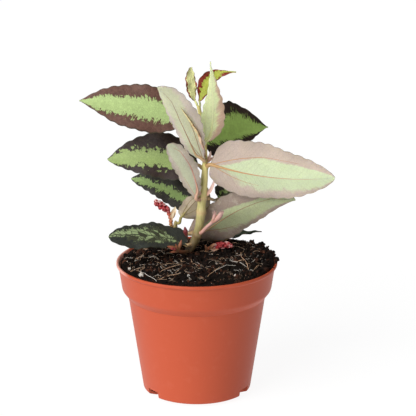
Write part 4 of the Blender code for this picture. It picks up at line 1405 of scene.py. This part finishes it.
def add_flower(shape, place, way, size, shade, seed):
    """A round bud, or with a seed that is odd a small flower of five lobes."""
    points, faces = ball_mesh(2)
    shape.add(lumpy(points, seed, 0.4) * size * 0.95 + place, faces, 1, (shade, 0, 0))
    if seed % 2:
        side = unit(np.cross(way, (0.3, 0.2, 0.9)))
        other = np.cross(way, side)
        for lobe in range(PETALS):
            angle = lobe * math.tau / PETALS
            spread = side * math.cos(angle) + other * math.sin(angle)
            petal = lumpy(points, seed + lobe, 0.3) * 0.42 * size
            shape.add(petal + place + (spread * 0.62 + way * 0.5) * size, faces, 1,
                      (min(shade + 0.25, 1), 0, 0))


def add_bunch(shape, foot, head, thick, count, size, shades, rng):
    """Small flowers and buds packed round a core that runs from foot to head."""
    foot, head = Vector(foot), Vector(head)
    core = smooth_path([foot.lerp(head, t) for t in (0.05, 0.5, 0.95)], 5)
    shape.tube(core, thick * np.linspace(0.75, 0.6, len(core)), 12, 1, (0.15, 0.0, 0.0))
    side = (head - foot).orthogonal().normalized()
    other = side.cross((head - foot).normalized())
    for index in range(count):
        turn = index * BUNCH_TURN
        share = (index + 0.5) / count
        way = side * math.cos(turn) + other * math.sin(turn)
        place = foot.lerp(head, share) + way * thick * math.sin(math.pi * (0.12 + 0.76 * share))
        add_flower(shape, np.array(place), np.array(way), size * rng.uniform(0.75, 1.25), rng.choice(shades),
                   index)


def add_stalk(shape, points, per_span, ends, sides=12, lumps=0.0):
    """A stalk from one radius to another, smooth or lumpy, coloured from its foot to its tip."""
    path = smooth_path(points, per_span)
    steps = np.arange(len(path))
    swell = 1.0 + lumps * (0.22 * np.sin(steps * 1.7) + 0.12 * np.sin(steps * 3.1))
    shape.tube(path, np.linspace(*ends, len(path)) * swell, sides, 0, shares(len(path), sides))


def add_lobe(shape, points, widest, opening, closing):
    """A fleshy lobe that swells and closes again."""
    path = smooth_path(points, 7)
    swell = np.sin(np.pi * (opening + closing * np.linspace(0, 1, len(path))))
    shape.tube(path, widest * swell, 14, 0, shares(len(path), 14))
    return path


BUNCH_SHADES = (0.1, 0.35, 0.5, 0.55, 0.65, 0.7, 0.95)
LEFT_STALK = ((-12.3, 6.4, 82.4), (-12.8, 6.4, 84.2), (-13.1, 6.4, 88.0), (-14.8, 6.4, 92.6))
LEFT_BRACTS = (
    (((-12.6, 5.9, 87.6), (-11.6, 5.6, 90.6), (-10.4, 5.4, 93.8)), 1.6),
    (((-12.9, 5.8, 86.4), (-12.4, 5.2, 88.6), (-11.2, 5.0, 91.0)), 1.0),
)
RIGHT_STALK = ((4.8, 4.4, 62.0), (4.8, 4.4, 70.4), (6.4, 4.8, 72.4), (9.4, 5.0, 73.6))
RIGHT_BRACTS = (
    (((5.2, 3.8, 71.0), (4.6, 2.8, 73.4), (4.2, 2.0, 75.0)), 0.7),
    (((6.2, 4.0, 72.2), (7.6, 2.8, 74.4), (9.4, 2.4, 75.6)), 0.8),
    (((6.6, 4.0, 72.4), (8.6, 2.6, 72.2), (10.8, 2.0, 72.8)), 0.8),
)
FORK_STALK = ((1.8, -0.9, 82.0), (2.8, -1.7, 83.0), (4.6, -2.2, 85.2), (7.2, -2.8, 87.8), (9.0, -3.2, 89.8))
FORK_LOBES = (
    (((7.6, -3.1, 88.2), (8.6, -3.8, 91.2), (8.7, -4.2, 94.4)), 0.95),
    (((8.0, -3.0, 88.6), (10.8, -3.8, 91.2), (12.6, -4.2, 94.4)), 1.4),
)
FOOT_STALK = ((-4.4, -0.6, 72.4), (-6.2, -5.4, 73.7), (-8.2, -9.0, 75.2), (-10.0, -10.4, 76.8))
FOOT_LOBES = (
    (((-9.5, -10.1, 76.3), (-8.3, -10.6, 78.8), (-7.4, -11.0, 81.8)), 1.0),
    (((-9.3, -10.0, 76.3), (-11.8, -11.8, 78.0), (-14.4, -13.2, 79.2)), 1.1),
    (((-8.6, -9.6, 75.6), (-11.0, -12.0, 76.0), (-13.0, -13.4, 76.2)), 0.7),
    (((-9.0, -10.2, 76.0), (-9.8, -11.6, 78.2), (-10.4, -12.4, 80.2)), 0.6),
)


def build_flowers(settings):
    """The red bunches, the forked pink flower and the orange one at the stem's foot."""
    rng = random.Random(FLOWER_SEED)
    buds = bud_skin(settings)
    stalk_skin = blushed("flower_stalk", tint(172, 132, 80), settings.stalk)
    bract_skin = blushed("bract_skin", tint(196, 152, 108), tint(236, 218, 184))
    dry_skin = blushed("dry_bract_skin", tint(120, 84, 58), tint(170, 118, 90))

    left = Shape()
    add_stalk(left, LEFT_STALK, 8, (0.85, 1.05), lumps=1.0)
    add_bunch(left, (-13.6, 6.4, 91.4), (-20.6, 6.4, 96.4), thick=1.05, count=16, size=1.1,
              shades=BUNCH_SHADES, rng=rng)
    for points, widest in LEFT_BRACTS:
        add_scale(left, points, widest, 2)
    left.piece("bunch_left", [stalk_skin, buds, bract_skin], ["flower_cluster_left"], "flower_red")

    right = Shape()
    add_stalk(right, RIGHT_STALK, 8, (0.75, 0.9))
    add_bunch(right, (8.0, 4.8, 73.5), (17.2, 4.8, 74.2), thick=1.0, count=18, size=1.05,
              shades=BUNCH_SHADES, rng=rng)
    for points, widest in RIGHT_BRACTS:
        add_scale(right, points, widest, 2)
    right.piece("bunch_right", [stalk_skin, buds, dry_skin], ["flower_cluster_right"], "flower_red")

    fork = Shape()
    add_stalk(fork, FORK_STALK, 7, (0.95, 0.9), 14)
    for points, widest in FORK_LOBES:
        lobe = add_lobe(fork, points, widest, 0.26, 0.58)
        for turn in (-0.5, 0.5):
            add_scale(fork, [lobe[-5] + (turn, -0.5, 0.0), lobe[-2] + (turn * 1.2, -0.7, 0.0),
                             lobe[-1] + (turn * 1.2, -0.6, 0.5)], 0.45, 1)
    fork_skin = blushed("fork_skin", tint(198, 148, 130), tint(196, 154, 146))
    grey_skin = blushed("fork_tips", tint(188, 150, 136), tint(132, 116, 106))
    fork.piece("fork_flower", [fork_skin, grey_skin], ["flower_fork"], "flower_pink")

    foot = Shape()
    add_stalk(foot, FOOT_STALK, 8, (0.9, 0.75))
    for points, widest in FOOT_LOBES:
        add_lobe(foot, points, widest, 0.25, 0.7)
    add_bunch(foot, (-10.4, -12.0, 77.4), (-12.2, -12.6, 78.2), thick=0.3, count=4, size=0.6,
              shades=(0.05, 0.2), rng=rng)
    foot_skin = blushed("foot_skin", tint(128, 90, 58), tint(148, 86, 60))
    foot.piece("foot_flower", [foot_skin, buds], ["flower_cluster_base"], "flower_pink")


# Stage

FLOOR_CORNERS = ((-6, -4, 0), (6, -4, 0), (6, 10, 0), (-6, 10, 0))
WHITE = (1.0, 1.0, 1.0, 1.0)
FILM_WIDTH = 36.0
VIEW_END = 30.0


def soft_light(name, azimuth, height, spread, strength):
    """Even light from one side: azimuth 0 is the front and -90 the left, angles in degrees."""
    light = bpy.data.lights.new(name, "SUN")
    light.angle = math.radians(spread)
    light.energy = strength
    lamp = bpy.data.objects.new(name, light)
    turn, rise = math.radians(azimuth), math.radians(height)
    lamp.location = (math.sin(turn) * math.cos(rise), -math.cos(turn) * math.cos(rise), math.sin(rise))
    lamp.rotation_euler = (-lamp.location).to_track_quat("-Z", "Y").to_euler()
    bpy.context.scene.collection.objects.link(lamp)


def build_stage(settings):
    """A pale floor, soft light and the camera at the photograph's angle."""
    scene = bpy.context.scene
    scene.view_settings.view_transform = "Standard"
    mesh = bpy.data.meshes.new("floor")
    mesh.from_pydata(FLOOR_CORNERS, [], [(0, 1, 2, 3)])
    floor = bpy.data.objects.new("floor", mesh)
    scene.collection.objects.link(floor)
    shader = Shader("floor_paint")
    speck = shader.noise(shader.position(), 40.0, 2.0)
    colour = shader.mix(speck, settings.floor, shaded(settings.floor, 0.99))
    mesh.materials.append(shader.finish(colour, 0.9, Specular_IOR_Level=0.1, Emission_Color=WHITE,
                                        Emission_Strength=settings.glow))

    world = bpy.data.worlds.new("studio")
    world.use_nodes = True
    sky = world.node_tree.nodes["Background"]
    sky.inputs["Color"].default_value = WHITE
    sky.inputs["Strength"].default_value = settings.sky
    scene.world = world
    soft_light("key_light", azimuth=-43.0, height=34.0, spread=44.0, strength=settings.key)
    soft_light("top_light", azimuth=-60.0, height=80.0, spread=60.0, strength=settings.top)

    camera = bpy.data.cameras.new("camera")
    camera.sensor_width = FILM_WIDTH
    camera.lens = settings.lens
    camera.clip_end = VIEW_END
    eye = bpy.data.objects.new("camera", camera)
    eye.location = (0.0, -settings.distance, settings.height)
    eye.rotation_euler = (math.pi / 2 - settings.pitch, 0.0, -settings.pan)
    scene.collection.objects.link(eye)
    scene.camera = eye


class BEGONIA_OT_pot(Operator):
    """Builds the plastic nursery pot"""
    bl_idname = "begonia.pot"
    bl_label = "Build Pot"

    def execute(self, context):
        build_pot(context.scene.begonia.pot)
        return {"FINISHED"}


class BEGONIA_OT_soil(Operator):
    """Builds the soil with its crumbs, fibres and perlite"""
    bl_idname = "begonia.soil"
    bl_label = "Build Soil"

    def execute(self, context):
        build_soil(context.scene.begonia.soil)
        return {"FINISHED"}


class BEGONIA_OT_stems(Operator):
    """Builds the main stem and the two shoots"""
    bl_idname = "begonia.stems"
    bl_label = "Build Stems"

    def execute(self, context):
        build_stems(context.scene.begonia.stem)
        return {"FINISHED"}


class BEGONIA_OT_leaves(Operator):
    """Builds every leaf with its veins and patterns"""
    bl_idname = "begonia.leaves"
    bl_label = "Build Leaves"

    def execute(self, context):
        build_leaves(context.scene.begonia.leaf)
        return {"FINISHED"}


class BEGONIA_OT_flowers(Operator):
    """Builds the flower bunches"""
    bl_idname = "begonia.flowers"
    bl_label = "Build Flowers"

    def execute(self, context):
        build_flowers(context.scene.begonia.flower)
        return {"FINISHED"}


class BEGONIA_OT_stage(Operator):
    """Builds the floor, the lights and the camera"""
    bl_idname = "begonia.stage"
    bl_label = "Build Stage"

    def execute(self, context):
        build_stage(context.scene.begonia.stage)
        return {"FINISHED"}


class BEGONIA_PT_panel(Panel):
    """Lists the settings and the steps"""
    bl_label = "Begonia"
    bl_space_type = "VIEW_3D"
    bl_region_type = "UI"
    bl_category = "Begonia"

    def draw(self, context):
        settings = context.scene.begonia
        for group, operator in (("pot", "begonia.pot"), ("soil", "begonia.soil"), ("stem", "begonia.stems"),
                                ("leaf", "begonia.leaves"), ("flower", "begonia.flowers"),
                                ("stage", "begonia.stage")):
            box = self.layout.box()
            values = getattr(settings, group)
            for key in values.__annotations__:
                box.prop(values, key)
            box.operator(operator)


CLASSES = (
    PotSettings, SoilSettings, StemSettings, LeafSettings, FlowerSettings, StageSettings, BegoniaSettings,
    BEGONIA_OT_pot, BEGONIA_OT_soil, BEGONIA_OT_stems, BEGONIA_OT_leaves, BEGONIA_OT_flowers,
    BEGONIA_OT_stage, BEGONIA_PT_panel,
)


def register():
    for kind in CLASSES:
        bpy.utils.register_class(kind)
    bpy.types.Scene.begonia = PointerProperty(type=BegoniaSettings)


def unregister():
    del bpy.types.Scene.begonia
    for kind in reversed(CLASSES):
        bpy.utils.unregister_class(kind)


def main():
    register()
    bpy.ops.begonia.stage()
    bpy.ops.begonia.pot()
    bpy.ops.begonia.soil()
    bpy.ops.begonia.stems()
    bpy.ops.begonia.leaves()
    bpy.ops.begonia.flowers()


if __name__ == "__main__":
    main()
